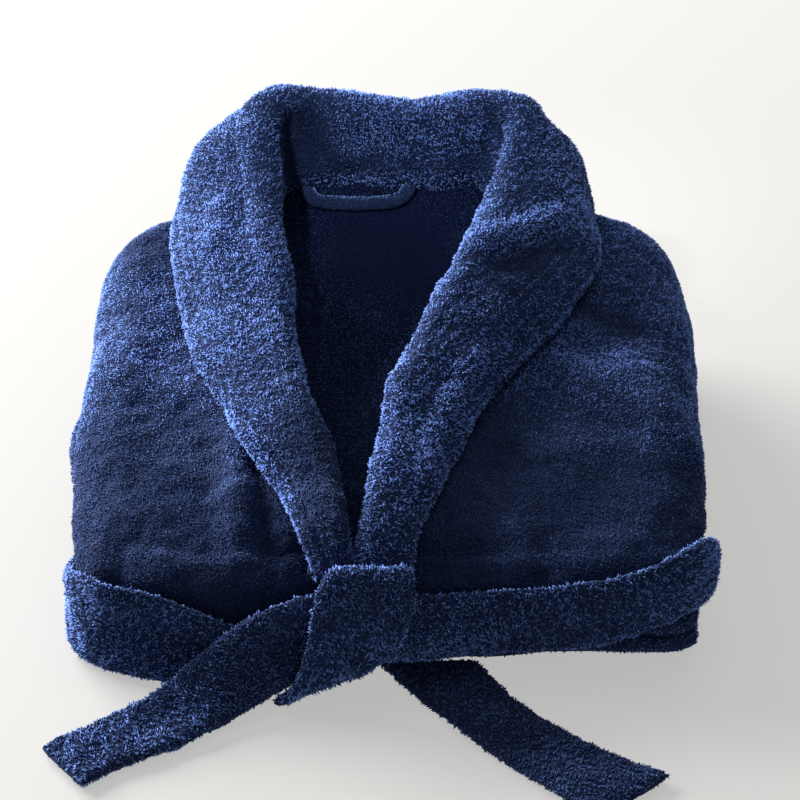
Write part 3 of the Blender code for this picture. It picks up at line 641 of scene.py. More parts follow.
def collar_grid(rows, columns):
    """Each row runs from the seam up the inside, over a half circle and down the fall to the edge.
    The fall bulges by its puff times a half wave. It starts a little below the seam, inside the
    cloth that it is sewn to."""
    cut = spline(COLLAR, rows)
    seam, crest, free = cut[:, :3], cut[:, 3:6], cut[:, 6:9]
    radius, puff = cut[:, 9:10], cut[:, 10:11]
    lead = unit(crest - (seam + free) / 2)
    spread = free - seam
    outward = unit(spread - lead * (spread * lead).sum(-1, keepdims=True))
    centre = crest - lead * radius
    inner, outer = centre - outward * radius, centre + outward * radius
    share = np.linspace(0, 1, columns)[None, :, None]
    low = np.clip(share / LOWER_SHARE, 0, 1)
    roll = np.clip((share - LOWER_SHARE) / ROLL_SHARE, 0, 1) * pi
    fall = np.clip((share - LOWER_SHARE - ROLL_SHARE) / (1 - LOWER_SHARE - ROLL_SHARE), 0, 1)
    below = unit(seam - inner)[:, None] * SEAM_TUCK * np.clip(1 - share * 20, 0, 1)
    grid = seam[:, None] + (inner - seam)[:, None] * low + below
    turn = outward[:, None] * (1 - np.cos(roll)) + lead[:, None] * np.sin(roll)
    grid = grid + radius[:, None] * turn
    grid = grid + (free - outer)[:, None] * fall
    return grid + outward[:, None] * puff[:, None] * np.sin(fall * pi)


def band_grid(stations, rows, columns):
    """Across a band from one edge to the other, with its middle standing out in a half wave. The
    columns are closer together at the edges."""
    cut = spline(stations, rows)
    one, other, bulge = cut[:, :3], cut[:, 3:6], cut[:, 6:7]
    middle = (one + other) / 2
    out = unit(np.cross(np.gradient(middle, axis=0), one - other))
    share = np.linspace(0, 1, columns)
    share = (share - 0.08 * np.sin(2 * pi * share))[None, :, None]
    grid = one[:, None] * (1 - share) + other[:, None] * share
    return grid + out[:, None] * bulge[:, None] * np.sin(share * pi)


def closed_curve(corners, steps=12):
    """A smooth closed curve through the corners, with this many points to each."""
    here = np.array(corners, float)
    before, after, beyond = (np.roll(here, turn, axis=0) for turn in (1, -1, -2))
    t = (np.arange(steps) / steps)[None, :, None]
    here, before, after, beyond = (side[:, None] for side in (here, before, after, beyond))
    bend = 2 * before - 5 * here + 4 * after - beyond
    twist = 3 * here - before - 3 * after + beyond
    curve = here + ((after - before) * t + bend * t**2 + twist * t**3) / 2
    return curve.reshape(-1, 2)


def plan_ring(corners, count, inset, z):
    """A closed ring round a rounded plan, moved in by inset, at height z."""
    curve = closed_curve(corners)
    looped = np.concatenate([curve, curve[:1]])
    steps = np.linalg.norm(np.diff(looped, axis=0), axis=1)
    length = np.concatenate([[0], np.cumsum(steps)])
    places = np.linspace(0, length[-1], count, endpoint=False)
    ring = np.stack([np.interp(places, length, looped[:, k]) for k in range(2)], -1)
    along = unit(np.roll(ring, -1, axis=0) - np.roll(ring, 1, axis=0))
    inward = np.stack([-along[:, 1], along[:, 0]], -1)
    inward = inward * np.sign(((ring.mean(axis=0) - ring) * inward).sum(-1).sum())
    return np.column_stack([ring + inward * inset, np.full(count, z)])


def under_back(x, y):
    """Highest point of what lies under the back, clear of its slopes."""
    steps = (-UNDER_BACK_STEP, 0, UNDER_BACK_STEP)
    around = [back_height(x + aside, y + onward) for aside in steps for onward in steps]
    return np.min(around, axis=0) - HALF - UNDER_BACK_GAP


def add_mesh(name, points, faces, material):
    """A smooth mesh object from points in millimetres and triangles, turned to point out: the
    volume that they close, from the sum of their corners' determinants, is more than 0."""
    points = points * MM
    points[:, 2] = np.maximum(points[:, 2], LOWEST)
    if np.linalg.det(points[faces]).sum() < 0:
        faces = faces[:, ::-1]
    mesh = bpy.data.meshes.new(name)
    mesh.vertices.add(len(points))
    mesh.vertices.foreach_set("co", points.astype(np.float32).ravel())
    mesh.loops.add(faces.size)
    mesh.loops.foreach_set("vertex_index", faces.astype(np.int32).ravel())
    mesh.polygons.add(len(faces))
    mesh.polygons.foreach_set("loop_start", np.arange(0, faces.size, 3, dtype=np.int32))
    mesh.update(calc_edges=True)
    mesh.validate()
    mesh.shade_smooth()
    mesh.materials.append(material)
    piece = bpy.data.objects.new(name, mesh)
    bpy.context.scene.collection.objects.link(piece)
    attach(piece, "root")
    return piece


def tube(middle, out, half):
    """A wall as a grid of closed rings, and its outward directions. Each ring runs along the outer
    face, round one edge, back along the inner face and round the other edge."""
    half = half[..., None]
    first = unit(middle[:, :1] - middle[:, 1:2])
    last = unit(middle[:, -1:] - middle[:, -2:-1])
    start = middle[:, :1] + first * half[:, :1] * 0.9
    end = middle[:, -1:] + last * half[:, -1:] * 0.9
    outer, inner = middle + out * half, middle - out * half
    points = np.concatenate([start, outer, end, inner[:, ::-1]], axis=1)
    ways = np.concatenate([first, out, last, -out[:, ::-1]], axis=1)
    return points, ways


def half_profile(rows, columns, thickness, edge, rounded_ends=(False, False)):
    """Half the thickness over a grid: full inside, falling to the share edge at the two long edges,
    and to a thin rim at an end that is rounded."""
    across = np.minimum(np.arange(columns), np.arange(columns)[::-1])
    across = edge + (1 - edge) * eased(across / 2)
    along = np.ones(rows)
    for ends, place in zip(rounded_ends, (slice(None), slice(None, None, -1))):
        if ends:
            along[place][:3] = (0.25, 0.7, 0.92)
    return thickness / 2 * along[:, None] * across[None, :]


def add_tube(name, rings, material):
    """The closed mesh of a grid of closed rings, with both ends sewn up across the wall."""
    rows, count = rings.shape[:2]
    index = np.arange(rows * count).reshape(rows, count)
    onward = np.roll(index, -1, axis=1)
    faces = np.stack([index[:-1], index[1:], onward[1:], onward[:-1]], -1).reshape(-1, 4)
    columns = (count - 2) // 2
    outer = np.arange(1, columns + 1)
    inner = np.arange(columns + 2, count)[::-1]
    caps = []
    for row, flip in ((0, 1), (rows - 1, -1)):
        ring = index[row]
        strip = np.stack([ring[outer[:-1]], ring[outer[1:]], ring[inner[1:]], ring[inner[:-1]]], -1)
        tips = np.array([[ring[0], ring[1], ring[-1], ring[-1]],
                         [ring[columns], ring[columns + 1], ring[columns + 2], ring[columns + 2]]])
        caps.append((strip[:, ::flip], tips[:, ::flip]))
    strips = np.concatenate([faces] + [strip for strip, _ in caps])
    tips = np.concatenate([tip for _, tip in caps])
    triangles = np.concatenate([strips[:, [0, 1, 2]], strips[:, [0, 2, 3]], tip_triangles(tips)])
    return add_mesh(name, rings.reshape(-1, 3), triangles, material)


def tip_triangles(tips):
    """Three different corners of each, in their order."""
    return np.array([list(dict.fromkeys(row.tolist())) for row in tips])


def scatter(grid, out, want, shade, gap, seed):
    """Places on a surface, one to each square of side gap on average, with the outward direction,
    the direction of the rows and the shade there, and the random generator used. A lattice is laid
    over the grid, stretched so that no square is larger than gap, each place is moved about its
    square, and a place is kept with a chance of its square's area over gap squared, times want
    there."""
    rng = np.random.default_rng(seed)
    down = np.linalg.norm(np.diff(grid, axis=0), axis=-1).max(axis=1)
    across = np.linalg.norm(np.diff(grid, axis=1), axis=-1).max(axis=0)
    reach_u, reach_v = (np.concatenate([[0], np.cumsum(side)]) for side in (down, across))
    count_u, count_v = (max(2, ceil(reach[-1] / gap)) for reach in (reach_u, reach_v))
    u, v = np.meshgrid(np.arange(count_u), np.arange(count_v), indexing="ij")
    u = (u + 0.5 + rng.uniform(-JITTER, JITTER, u.shape)) / count_u * reach_u[-1]
    v = (v + 0.5 + rng.uniform(-JITTER, JITTER, v.shape)) / count_v * reach_v[-1]
    u, v = u.ravel(), v.ravel()
    at_u = np.interp(u, reach_u, np.arange(len(reach_u)))
    at_v = np.interp(v, reach_v, np.arange(len(reach_v)))
    i = np.clip(at_u.astype(int), 0, len(down) - 1)
    j = np.clip(at_v.astype(int), 0, len(across) - 1)
    s, t = (at_u - i)[:, None], (at_v - j)[:, None]
    along = grid[i + 1, j] - grid[i, j]
    aside = grid[i, j + 1] - grid[i, j]
    area = np.linalg.norm(np.cross(along, aside), axis=-1) / (down[i] * across[j])
    keep = rng.random(len(u)) < area * want[i, j]
    i, j, s, t = i[keep], j[keep], s[keep], t[keep]

    def mixed(values):
        near = values[i, j] * (1 - t) + values[i, j + 1] * t
        far = values[i + 1, j] * (1 - t) + values[i + 1, j + 1] * t
        return near * (1 - s) + far * s

    return mixed(grid), unit(mixed(out)), unit(along[keep]), mixed(shade[..., None])[:, 0], rng


def add_pile(name, patches, material, seed, pile, gap):
    """Loops of pile over patches of (grid, outward directions, how much is wanted, its shade:
    painted light and shade).
    pile is a loop's height, length and width, and how much its height varies in clumps. A loop is
    a closed solid of four triangles: a ridge between two raised ends, one higher than the other,
    over two feet sunk into the cloth. Loops lie along the nap, within a random turn, and stand
    higher in clumps with low ones in between."""
    height, length, width, clumped = pile
    found = []
    for step, (grid, out, want, shade) in enumerate(patches):
        places, up, along, shade, rng = scatter(grid, out, want, shade, gap, seed + step)
        count = len(places)
        clump = np.clip(0.55 + 0.45 * waves(places, CLUMP, seed + 60), 0, 1)
        turn = rng.normal(0, TURN_ALONE, count)
        turn = turn + TURN_TOGETHER * waves(places, TURNED, seed + 90)
        side = unit(np.cross(up, along))
        along = unit(np.cross(side, up))
        lean = along * np.cos(turn)[:, None] + side * np.sin(turn)[:, None]
        cross = np.cross(up, lean)
        size = rng.uniform(*SIZES, (3, count, 1))
        high = height * size[0] * (1 - clumped + clumped * clump[:, None])
        reach = lean * length * size[1] / 2
        near = places + up * high * rng.uniform(*LOW_END, (count, 1)) - reach
        far = places + up * high * rng.uniform(*HIGH_END, (count, 1)) + reach * 0.9
        foot = cross * width * size[2] / 2
        left, right = places - up * TUFT_SINK + foot, places - up * TUFT_SINK - foot
        # Tone: partly random, partly painted shade on low loops between clumps, times the painted
        # light and shade of the place
        tone = (1 - clumped * CLUMP_TONE) * rng.random(count) + clumped * CLUMP_TONE * clump
        found.append((np.stack([near, far, left, right], 1), np.repeat(tone * shade, 4)))
    points = np.concatenate([corners for corners, _ in found])
    tone = np.concatenate([tones for _, tones in found])
    count = len(points)
    corners = np.array([(0, 1, 2), (1, 0, 3), (0, 2, 3), (2, 1, 3)])
    faces = (np.arange(count)[:, None, None] * 4 + corners).reshape(-1, 3)
    piece = add_mesh(name, points.reshape(-1, 3), faces, material)
    tip = np.tile(TIP_TONES, count)
    for label, values in (("tone", tone), ("tip", tip)):
        layer = piece.data.attributes.new(label, "FLOAT", "POINT")
        layer.data.foreach_set("value", values.astype(np.float32))
    return piece


class Wire:
    """A shader socket that sums, products and mixes can be written with."""

    def __init__(self, shader, socket):
        self.shader, self.socket = shader, socket

    def maths(self, operation, *values):
        return self.shader.node("ShaderNodeMath", {"operation": operation}, *values)

    def __add__(self, other):
        return self.maths("ADD", self, other)

    __radd__ = __add__

    def __mul__(self, other):
        return self.maths("MULTIPLY", self, other)

    __rmul__ = __mul__

    def __sub__(self, other):
        return self.maths("SUBTRACT", self, other)

    def __rsub__(self, other):
        return self.maths("SUBTRACT", other, self)


class Shader:
    """A material, the Principled shader in it and a way to add nodes."""

    def __init__(self, name):
        self.material = bpy.data.materials.new(name)
        self.material.use_nodes = True
        self.tree = self.material.node_tree
        self.principled = self.tree.nodes["Principled BSDF"]

    def node(self, kind, settings, *values, output=0, **named):
        """Adds a node: its settings, then its inputs in order and by name. Gives one output."""
        made = self.tree.nodes.new(kind)
        for key, value in settings.items():
            setattr(made, key, value)
        pairs = list(zip(made.inputs, values))
        pairs += [(made.inputs[key.replace("_", " ")], value) for key, value in named.items()]
        for socket, value in pairs:
            self.put(socket, value)
        return Wire(self, made.outputs[output])

    def put(self, socket, value):
        """Links a wire to a socket, or sets a value on it."""
        if isinstance(value, Wire):
            self.tree.links.new(value.socket, socket)
        else:
            socket.default_value = value

    def mix(self, factor, one, other):
        """One colour at 0 and the other at 1."""
        made = self.tree.nodes.new("ShaderNodeMix")
        made.data_type = "RGBA"
        for place, value in zip((0, 6, 7), (factor, one, other)):
            self.put(made.inputs[place], value)
        return Wire(self, made.outputs[2])

    def set(self, **values):
        """Sets the Principled shader's inputs by name."""
        for key, value in values.items():
            self.put(self.principled.inputs[key.replace("_", " ")], value)


def noise(shader, place, scale, detail=2.0):
    """A cloudy pattern from 0 to 1."""
    return shader.node("ShaderNodeTexNoise", {}, Vector=place, Scale=scale, Detail=detail)


def loop_material(name, shades, cloth, fuzz=1.0):
    """Loops of the pile: painted shade at the foot and lighter at the tip, each with its own tone
    and its painted light and shade, and with slow patches where the nap is brushed another way."""
    shader = Shader(name)
    place = shader.node("ShaderNodeTexCoord", {}, output=3)
    tone = shader.node("ShaderNodeAttribute", {"attribute_name": "tone"}, output=2)
    tip = shader.node("ShaderNodeAttribute", {"attribute_name": "tip"}, output=2)
    brushed = noise(shader, place, NAP_PATCHES)
    light = tip * (tone * tone + 0.05) * (0.5 + brushed) * LOOP_LIGHT
    shader.set(
        Base_Color=shader.mix(light, (*shades[0], 1), (*shades[1], 1)),
        Roughness=cloth.roughness,
        Sheen_Weight=cloth.sheen * fuzz,
        Sheen_Roughness=0.45,
        Sheen_Tint=(*cloth.sheen_tint, 1),
        Specular_IOR_Level=0.06,
    )
    return shader.material


def ground_material(name, shades, cloth, fuzz=1.0):
    """The cloth under the loops: a fine grain of knots in bump and colour, darker between them."""
    shader = Shader(name)
    place = shader.node("ShaderNodeTexCoord", {}, output=3)
    knots = shader.node(
        "ShaderNodeTexVoronoi", {"feature": "F1"}, Vector=place, Scale=GRAIN, Randomness=0.8)
    fibres = noise(shader, place, GRAIN * 1.7, 3.0)
    brushed = noise(shader, place, NAP_PATCHES)
    height = (1 - knots) * 0.7 + fibres * 0.5
    light = height * height * (0.2 + brushed * 0.5)
    bump = shader.node(
        "ShaderNodeBump", {}, Strength=GRAIN_BUMP, Distance=GRAIN_DEEP, Height=height)
    shader.set(
        Base_Color=shader.mix(light, (*shades[0], 1), (*shades[1], 1)),
        Roughness=cloth.roughness,
        Sheen_Weight=cloth.sheen * 0.2 * fuzz,
        Sheen_Roughness=0.5,
        Sheen_Tint=(*cloth.sheen_tint, 1),
        Specular_IOR_Level=0.04,
        Normal=bump,
    )
    return shader.material


def materials(cloth):
    """The materials of every piece, made once."""
    found = bpy.data.materials
    if "terry_ground_painted_shade" not in found:
        deep, bright = tuple(cloth.deep), tuple(cloth.bright)
        # Shaded and lit copies of the cloth: painted shade between the loops and on the inside of
        # the back, painted light on the hanging loop
        between, inside, lining, lit = (
            tuple(min(1, channel * share) for channel in bright)
            for share in (BETWEEN_PAINTED_SHADE, INSIDE_PAINTED_SHADE, LINING_PAINTED_SHADE, HANGER_PAINTED_LIGHT))
        ground_material("terry_ground_painted_shade", (deep, between), cloth)
        loop_material("terry_loops", (deep, bright), cloth)
        loop_material("hanger_loops_painted_light", (deep, lit), cloth)
        loop_material("inside_loops_painted_shade", (deep, inside), cloth, INSIDE_FUZZ)
        ground_material("inside_ground_painted_shade", (deep, lining), cloth, INSIDE_FUZZ)
    return found


def cloth_piece(name, node, middle, out, thickness, edge, ground, ends=(False, False)):
    """A closed wall of cloth that stands for a node. Gives the object, its rings and directions."""
    rows, columns = middle.shape[:2]
    rings, ways = tube(middle, out, half_profile(rows, columns, thickness, edge, ends))
    piece = add_tube(name, rings, ground)
    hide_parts(node)
    return piece, rings, ways


def crest_up(grid):
    """The collar's unit normals, turned to point up at the middle of its roll."""
    found = normals(grid)
    return found * (1 if found[COLLAR_MIDDLE, COLLAR_COLUMNS // 2, 2] > 0 else -1)


def facing(grid, towards):
    """The grid's unit normals, turned so that on the whole they point along towards."""
    found = normals(grid)
    return found * (1 if (found @ np.asarray(towards, float)).sum() > 0 else -1)


def closed_grid(values):
    """A grid of rings with the first column again at the end."""
    return np.concatenate([values, values[:, :1]], axis=1)


class RobeCloth(bpy.types.PropertyGroup):
    # deep is painted shade at the foot of the loops and on the cloth between them
    deep: FloatVectorProperty(
        name="Deep colour", description="Colour between and at the foot of the loops",
        subtype="COLOR", size=3, min=0, max=1, default=(0.0025, 0.0055, 0.026))
    bright: FloatVectorProperty(
        name="Bright colour", description="Colour of the tips of the loops",
        subtype="COLOR", size=3, min=0, max=1, default=(0.16, 0.275, 0.7))
    sheen_tint: FloatVectorProperty(
        name="Sheen colour", description="Colour of the light caught by the fuzz",
        subtype="COLOR", size=3, min=0, max=1, default=(0.35, 0.5, 0.95))
    sheen: FloatProperty(
        name="Sheen", description="How much light the fuzz catches", min=0, max=1, default=0.2)
    roughness: FloatProperty(
        name="Roughness", description="Roughness of the cloth", min=0, max=1, default=0.92)
    gap: FloatProperty(
        name="Loop spacing", description="Mean distance between loops",
        subtype="DISTANCE", min=0.001, max=0.01, default=0.00188)


class RobeStage(bpy.types.PropertyGroup):
    pitch: FloatProperty(
        name="Camera pitch", description="How far the camera looks down",
        subtype="ANGLE", default=radians(32))
    distance: FloatProperty(
        name="Camera distance", description="Level distance from the origin to the camera",
        subtype="DISTANCE", default=2.22605)
    height: FloatProperty(
        name="Camera height", description="Height of the camera over the surface",
        subtype="DISTANCE", default=1.48856)
    lens: FloatProperty(
        name="Focal length", description="Focal length for a sensor 36 mm wide",
        unit="CAMERA", default=160.2)
    key: FloatProperty(
        name="Left window", description="Power of the light from the left",
        subtype="POWER", min=0, default=690)
    behind: FloatProperty(
        name="Window behind", description="Power of the light from behind",
        subtype="POWER", min=0, default=26)
    ceiling: FloatProperty(
        name="Ceiling light", description="Power of the soft light from above",
        subtype="POWER", min=0, default=9)
    neck: FloatProperty(
        name="Neck light", description="Power of the narrow light on the collar",
        subtype="POWER", min=0, default=62)
    room: FloatProperty(
        name="Room light", description="Strength of the light from all round", min=0, default=0.22)


class BuildPiece:
    """What the operators of the robe share."""

    bl_options = {"REGISTER", "UNDO"}


class ROBE_OT_fronts(BuildPiece, bpy.types.Operator):
    """Build the two fronts, from the collar seam round the folded edges"""

    bl_idname = "robe.fronts"
    bl_label = "Fronts"

    def execute(self, context):
        cloth = context.scene.robe_cloth
        found = materials(cloth)
        jobs = (
            ("front_right", FRONT_RIGHT, FOLDS_RIGHT, CREASES_RIGHT, PAINTED_LIGHT_AND_NAP_RIGHT, 11, (0.2, 0.77),
             0.092),
            ("front_left", FRONT_LEFT, FOLDS_LEFT, CREASES_LEFT, PAINTED_LIGHT_AND_NAP_LEFT, 23, (0.24, 0.815),
             0.1085),
        )
        for name, stations, folds, creases, light_and_nap_lines, seed, flat, area in jobs:
            grid = front_grid(stations, *FRONT_GRID)
            out = facing(grid, (0, 0, 1))
            grid = grid + out * fold_lift(grid, folds)[..., None]
            grid[..., 2] += front_sag(grid)
            grid, lift = rumpled(grid, out, creases, seed)
            out = facing(grid, (0, 0, 1))
            piece, _, _ = cloth_piece(
                name + "_cloth", name, grid, out, TERRY, 0.8, found["terry_ground_painted_shade"])
            outer = grid + out * HALF
            want = np.ones(FRONT_GRID)
            want[:, :2] = SEAM_LOOPS
            # Painted shade that deepens down the fronts towards the belt, times the painted light
            # and shade of creases and lines
            down = BELT_PAINTED_SHADE * eased((BELT_PAINTED_SHADE_FROM - grid[..., 1]) / BELT_PAINTED_SHADE_RUN)
            shade = nap(grid, lift, light_and_nap_lines) * (1 - down)
            loops = add_pile(
                name + "_pile", [(outer, out, want, shade)], found["terry_loops"], seed + 5,
                BODY_PILE, cloth.gap / MM)
        return {"FINISHED"}


class ROBE_OT_back(BuildPiece, bpy.types.Operator):
    """Build the back, whose inside shows in the open neck"""

    bl_idname = "robe.back"
    bl_label = "Back"

    def execute(self, context):
        cloth = context.scene.robe_cloth
        found = materials(cloth)
        grid = back_grid(*BACK_GRID)
        out = facing(grid, (0, 0, 1))
        grid, lift = rumpled(grid, out, CREASES_BACK, 37, 0.6, 0.25)
        out = facing(grid, (0, 0, 1))
        piece, _, _ = cloth_piece(
            "back_cloth", "back", grid, out, TERRY, 0.8, found["inside_ground_painted_shade"])
        outer = grid + out * HALF
        seen = np.abs(outer[..., 0] - NECK_X) < NECK_REACH
        # Painted shade on the inside of the back near the neck and painted light lower down, along
        # lines and on its creases
        loops = add_pile(
            "back_pile", [(outer, out, seen.astype(float), nap(grid, lift, PAINTED_LIGHT_AND_NAP_BACK))],
            found["inside_loops_painted_shade"], 41, INSIDE_PILE, cloth.gap / MM)
        return {"FINISHED"}


class ROBE_OT_collar(BuildPiece, bpy.types.Operator):
    """Build the shawl collar, with a stitch line inside its free edge"""

    bl_idname = "robe.collar"
    bl_label = "Collar"

    def execute(self, context):
        cloth = context.scene.robe_cloth
        found = materials(cloth)
        grid = collar_grid(COLLAR_ROWS, COLLAR_COLUMNS)
        from_edge = np.linalg.norm(grid - grid[:, -1:], axis=-1)
        stitch = -STITCH_DEEP * np.exp(-((from_edge - STITCH_IN) / STITCH_HALF) ** 2)
        grid, lift = rumpled(grid, crest_up(grid), CREASES_COLLAR, 53, 1.2, 0.4)
        # Painted shade on the stand just above the neck seam, times the painted light and shade of
        # creases and lines
        share = np.linspace(0, 1, COLLAR_COLUMNS)
        stand = np.exp(-((share - STAND_AT) / STAND_HALF) ** 2)
        shade = nap(grid, lift, PAINTED_LIGHT_AND_NAP_COLLAR) * (1 - STAND_PAINTED_SHADE * stand)
        half = half_profile(COLLAR_ROWS, COLLAR_COLUMNS, DOUBLE, 0.55) + stitch
        rings, ways = tube(grid, crest_up(grid), half)
        piece = add_tube("collar_cloth", rings, found["terry_ground_painted_shade"])
        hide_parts("collar")
        face = slice(1, COLLAR_COLUMNS + 1)
        rim = slice(COLLAR_COLUMNS - 1, COLLAR_COLUMNS - 1 + RIM_COLUMNS)
        for name, part in (("right", slice(0, COLLAR_MIDDLE + 1)),
                           ("left", slice(COLLAR_MIDDLE, COLLAR_ROWS))):
            sewn = np.exp(-((from_edge[part] - STITCH_IN) / STITCH_HALF) ** 2)
            brim = np.repeat(shade[part][:, -1:], RIM_COLUMNS, axis=1)
            patches = [(rings[part, face], ways[part, face], 1 - STITCH_BARE * sewn, shade[part]),
                       (rings[part, rim], ways[part, rim], np.ones(brim.shape), brim)]
            loops = add_pile(
                "collar_pile_" + name, patches, found["terry_loops"], 61, COLLAR_PILE,
                cloth.gap / MM)
        return {"FINISHED"}


class ROBE_OT_loop(BuildPiece, bpy.types.Operator):
    """Build the hanging loop under the neck seam"""

    bl_idname = "robe.loop"
    bl_label = "Hanging loop"

    def execute(self, context):
        cloth = context.scene.robe_cloth
        found = materials(cloth)
        route = spline(LOOP, LOOP_ROWS)
        tangent = unit(np.gradient(route, axis=0))
        across = unit(np.cross(tangent, [LOOP_FACES]))
        share = np.linspace(-0.5, 0.5, LOOP_COLUMNS)[None, :, None]
        grid = route[:, None] + across[:, None] * LOOP_WIDTH * share
        out = facing(grid, LOOP_FACES)
        piece, rings, ways = cloth_piece(
            "hanger_loop_cloth", "hanger_loop", grid, out, TERRY, 0.6,
            found["terry_ground_painted_shade"])
        ring, way = closed_grid(rings), closed_grid(ways)
        # Painted shade on the band's faces and a painted highlight on its upper edge
        shade = np.full(ring.shape[:2], LOOP_FACE_PAINTED_SHADE)
        shade[:, LOOP_LIT_EDGE] = LOOP_EDGE_PAINTED_LIGHT
        loops = add_pile(
            "hanger_loop_pile", [(ring, way, np.ones(shade.shape), shade)],
            found["hanger_loops_painted_light"], 71, LOOP_PILE, LOOP_GAP)
        return {"FINISHED"}


class ROBE_OT_layers(BuildPiece, bpy.types.Operator):
    """Build the folded skirt and sleeves, whose layered edges show at the sides"""

    bl_idname = "robe.layers"
    bl_label = "Folded layers"

    def execute(self, context):
        cloth = context.scene.robe_cloth
        found = materials(cloth)
        jobs = (
            ("skirt", SKIRT_PLAN, 300, 83),
            ("sleeve_right", SLEEVE_RIGHT_PLAN, 150, 89),
            ("sleeve_left", SLEEVE_LEFT_PLAN, 150, 97),
        )
        for name, plan, count, seed in jobs:
            levels = layer_levels(name, plan, count)
            out = layer_normals(levels)
            lift = crease_lift(levels, CREASES_LAYERS) + 0.7 * waves(levels, 45, seed)
            flat = (levels[..., 2] < 4) | (np.abs(out[..., 2]) > 0.8)
            levels = levels + out * np.where(flat, 0, lift)[..., None]
            piece = add_stack(name + "_cloth", levels, found["terry_ground_painted_shade"])
            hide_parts(name)
            ring, way = closed_grid(levels), closed_grid(out)
            side = np.abs(way[..., 2]) < 0.75
            loops = add_pile(
                name + "_pile", [(ring, way, side.astype(float), np.ones(side.shape))],
                found["terry_loops"], seed + 3, BODY_PILE, cloth.gap / MM * LAYER_GAP)
        return {"FINISHED"}


def layer_levels(name, plan, count):
    """Rings of a folded layer from the bottom up, with more of them round the edge."""
    edge = SKIRT_EDGE if name == "skirt" else SLEEVE_EDGE
    fine = []
    for (inset, z), (inset_next, z_next) in zip(edge[:-1], edge[1:]):
        steps = 3 if abs(inset - inset_next) < 12 else 2
        for k in range(steps):
            share = k / steps
            fine.append((inset + (inset_next - inset) * share, z + (z_next - z) * share))
    fine.append(edge[-1])
    levels = []
    for inset, z in fine:
        ring = plan_ring(plan, count, inset, z)
        if name != "skirt":
            top = under_back(ring[:, 0], ring[:, 1])
            ring[:, 2] = SLEEVE_BOTTOM + (top - SLEEVE_BOTTOM) * z
        levels.append(ring)
    return np.stack(levels)


def layer_normals(levels):
    """Outward directions of a stack of rings."""
    along = np.roll(levels, -1, axis=1) - np.roll(levels, 1, axis=1)
    found = unit(np.cross(along, np.gradient(levels, axis=0)))
    middle = levels.mean(axis=(0, 1))
    return found * (1 if (found * (levels - middle)).sum() > 0 else -1)


def add_stack(name, levels, material):
    """A closed solid through a stack of rings, with a fan at each end."""
    rows, count = levels.shape[:2]
    index = np.arange(rows * count).reshape(rows, count)
    onward = np.roll(index, -1, axis=1)
    quads = np.stack([index[:-1], onward[:-1], onward[1:], index[1:]], -1).reshape(-1, 4)
    low, high = rows * count, rows * count + 1
    low_fan = np.stack([np.full(count, low), onward[0], index[0]], -1)
    high_fan = np.stack([np.full(count, high), index[-1], onward[-1]], -1)
    faces = np.concatenate([quads[:, [0, 1, 2]], quads[:, [0, 2, 3]], low_fan, high_fan])
    centres = np.stack([levels[0].mean(axis=0), levels[-1].mean(axis=0)])
    return add_mesh(name, np.concatenate([levels.reshape(-1, 3), centres]), faces, material)


class ROBE_OT_belt(BuildPiece, bpy.types.Operator):
    """Build the belt: what goes round the waist, the knot and the two tails"""

    bl_idname = "robe.belt"
    bl_label = "Belt"

    def execute(self, context):
        cloth = context.scene.robe_cloth
        found = materials(cloth)
        jobs = (
            ("belt_wrap_left", BELT_WRAP_LEFT, 70, (0, -1, 0), 0.95, (0.056, 0.332), 0.0153),
            ("belt_wrap_right", BELT_WRAP_RIGHT, 54, (0, -1, 0), 1.0, (0.063, 0.229), 0.0099),
            ("belt_knot", BELT_KNOT, 30, (0, -1, 0.3), 1.0, (0.064, 0.121), 0.006),
            ("belt_tail_right", BELT_TAIL_RIGHT, 70, (0, -0.5, 1), 0.75, (0.063, 0.248), 0.0118),
            ("belt_tail_left", BELT_TAIL_LEFT, 54, (0, 0, 1), 0.5, (0.068, 0.226), 0.0107),
        )
        for step, (name, stations, rows, towards, tone, flat, area) in enumerate(jobs):
            ends = (False, name != "belt_knot")
            grid = band_grid(stations, rows, BELT_COLUMNS)
            out = facing(grid, towards)
            grid, lift = rumpled(grid, out, CREASES_BELT, 101 + step, 0.7, 0.5)
            out = facing(grid, towards)
            piece, rings, ways = cloth_piece(
                name + "_cloth", name, grid, out, DOUBLE, 0.6,
                found["terry_ground_painted_shade"], ends)
            ring, way = closed_grid(rings), closed_grid(ways)
            want = np.ones(ring.shape[:2])
            want[:, BELT_HIDDEN] = HIDDEN_LOOPS
            # Painted light on ridges and painted shade in troughs, times each piece's tone: painted
            # shade on the tails, a little on the left wrap
            face = nap(grid, lift) * tone
            shade = np.concatenate(
                [face[:, :1], face, face[:, -1:], face[:, ::-1], face[:, :1]], axis=1)
            loops = add_pile(
                name + "_pile", [(ring, way, want, shade)], found["terry_loops"], 131 + step,
                BELT_PILE, cloth.gap / MM)
        return {"FINISHED"}


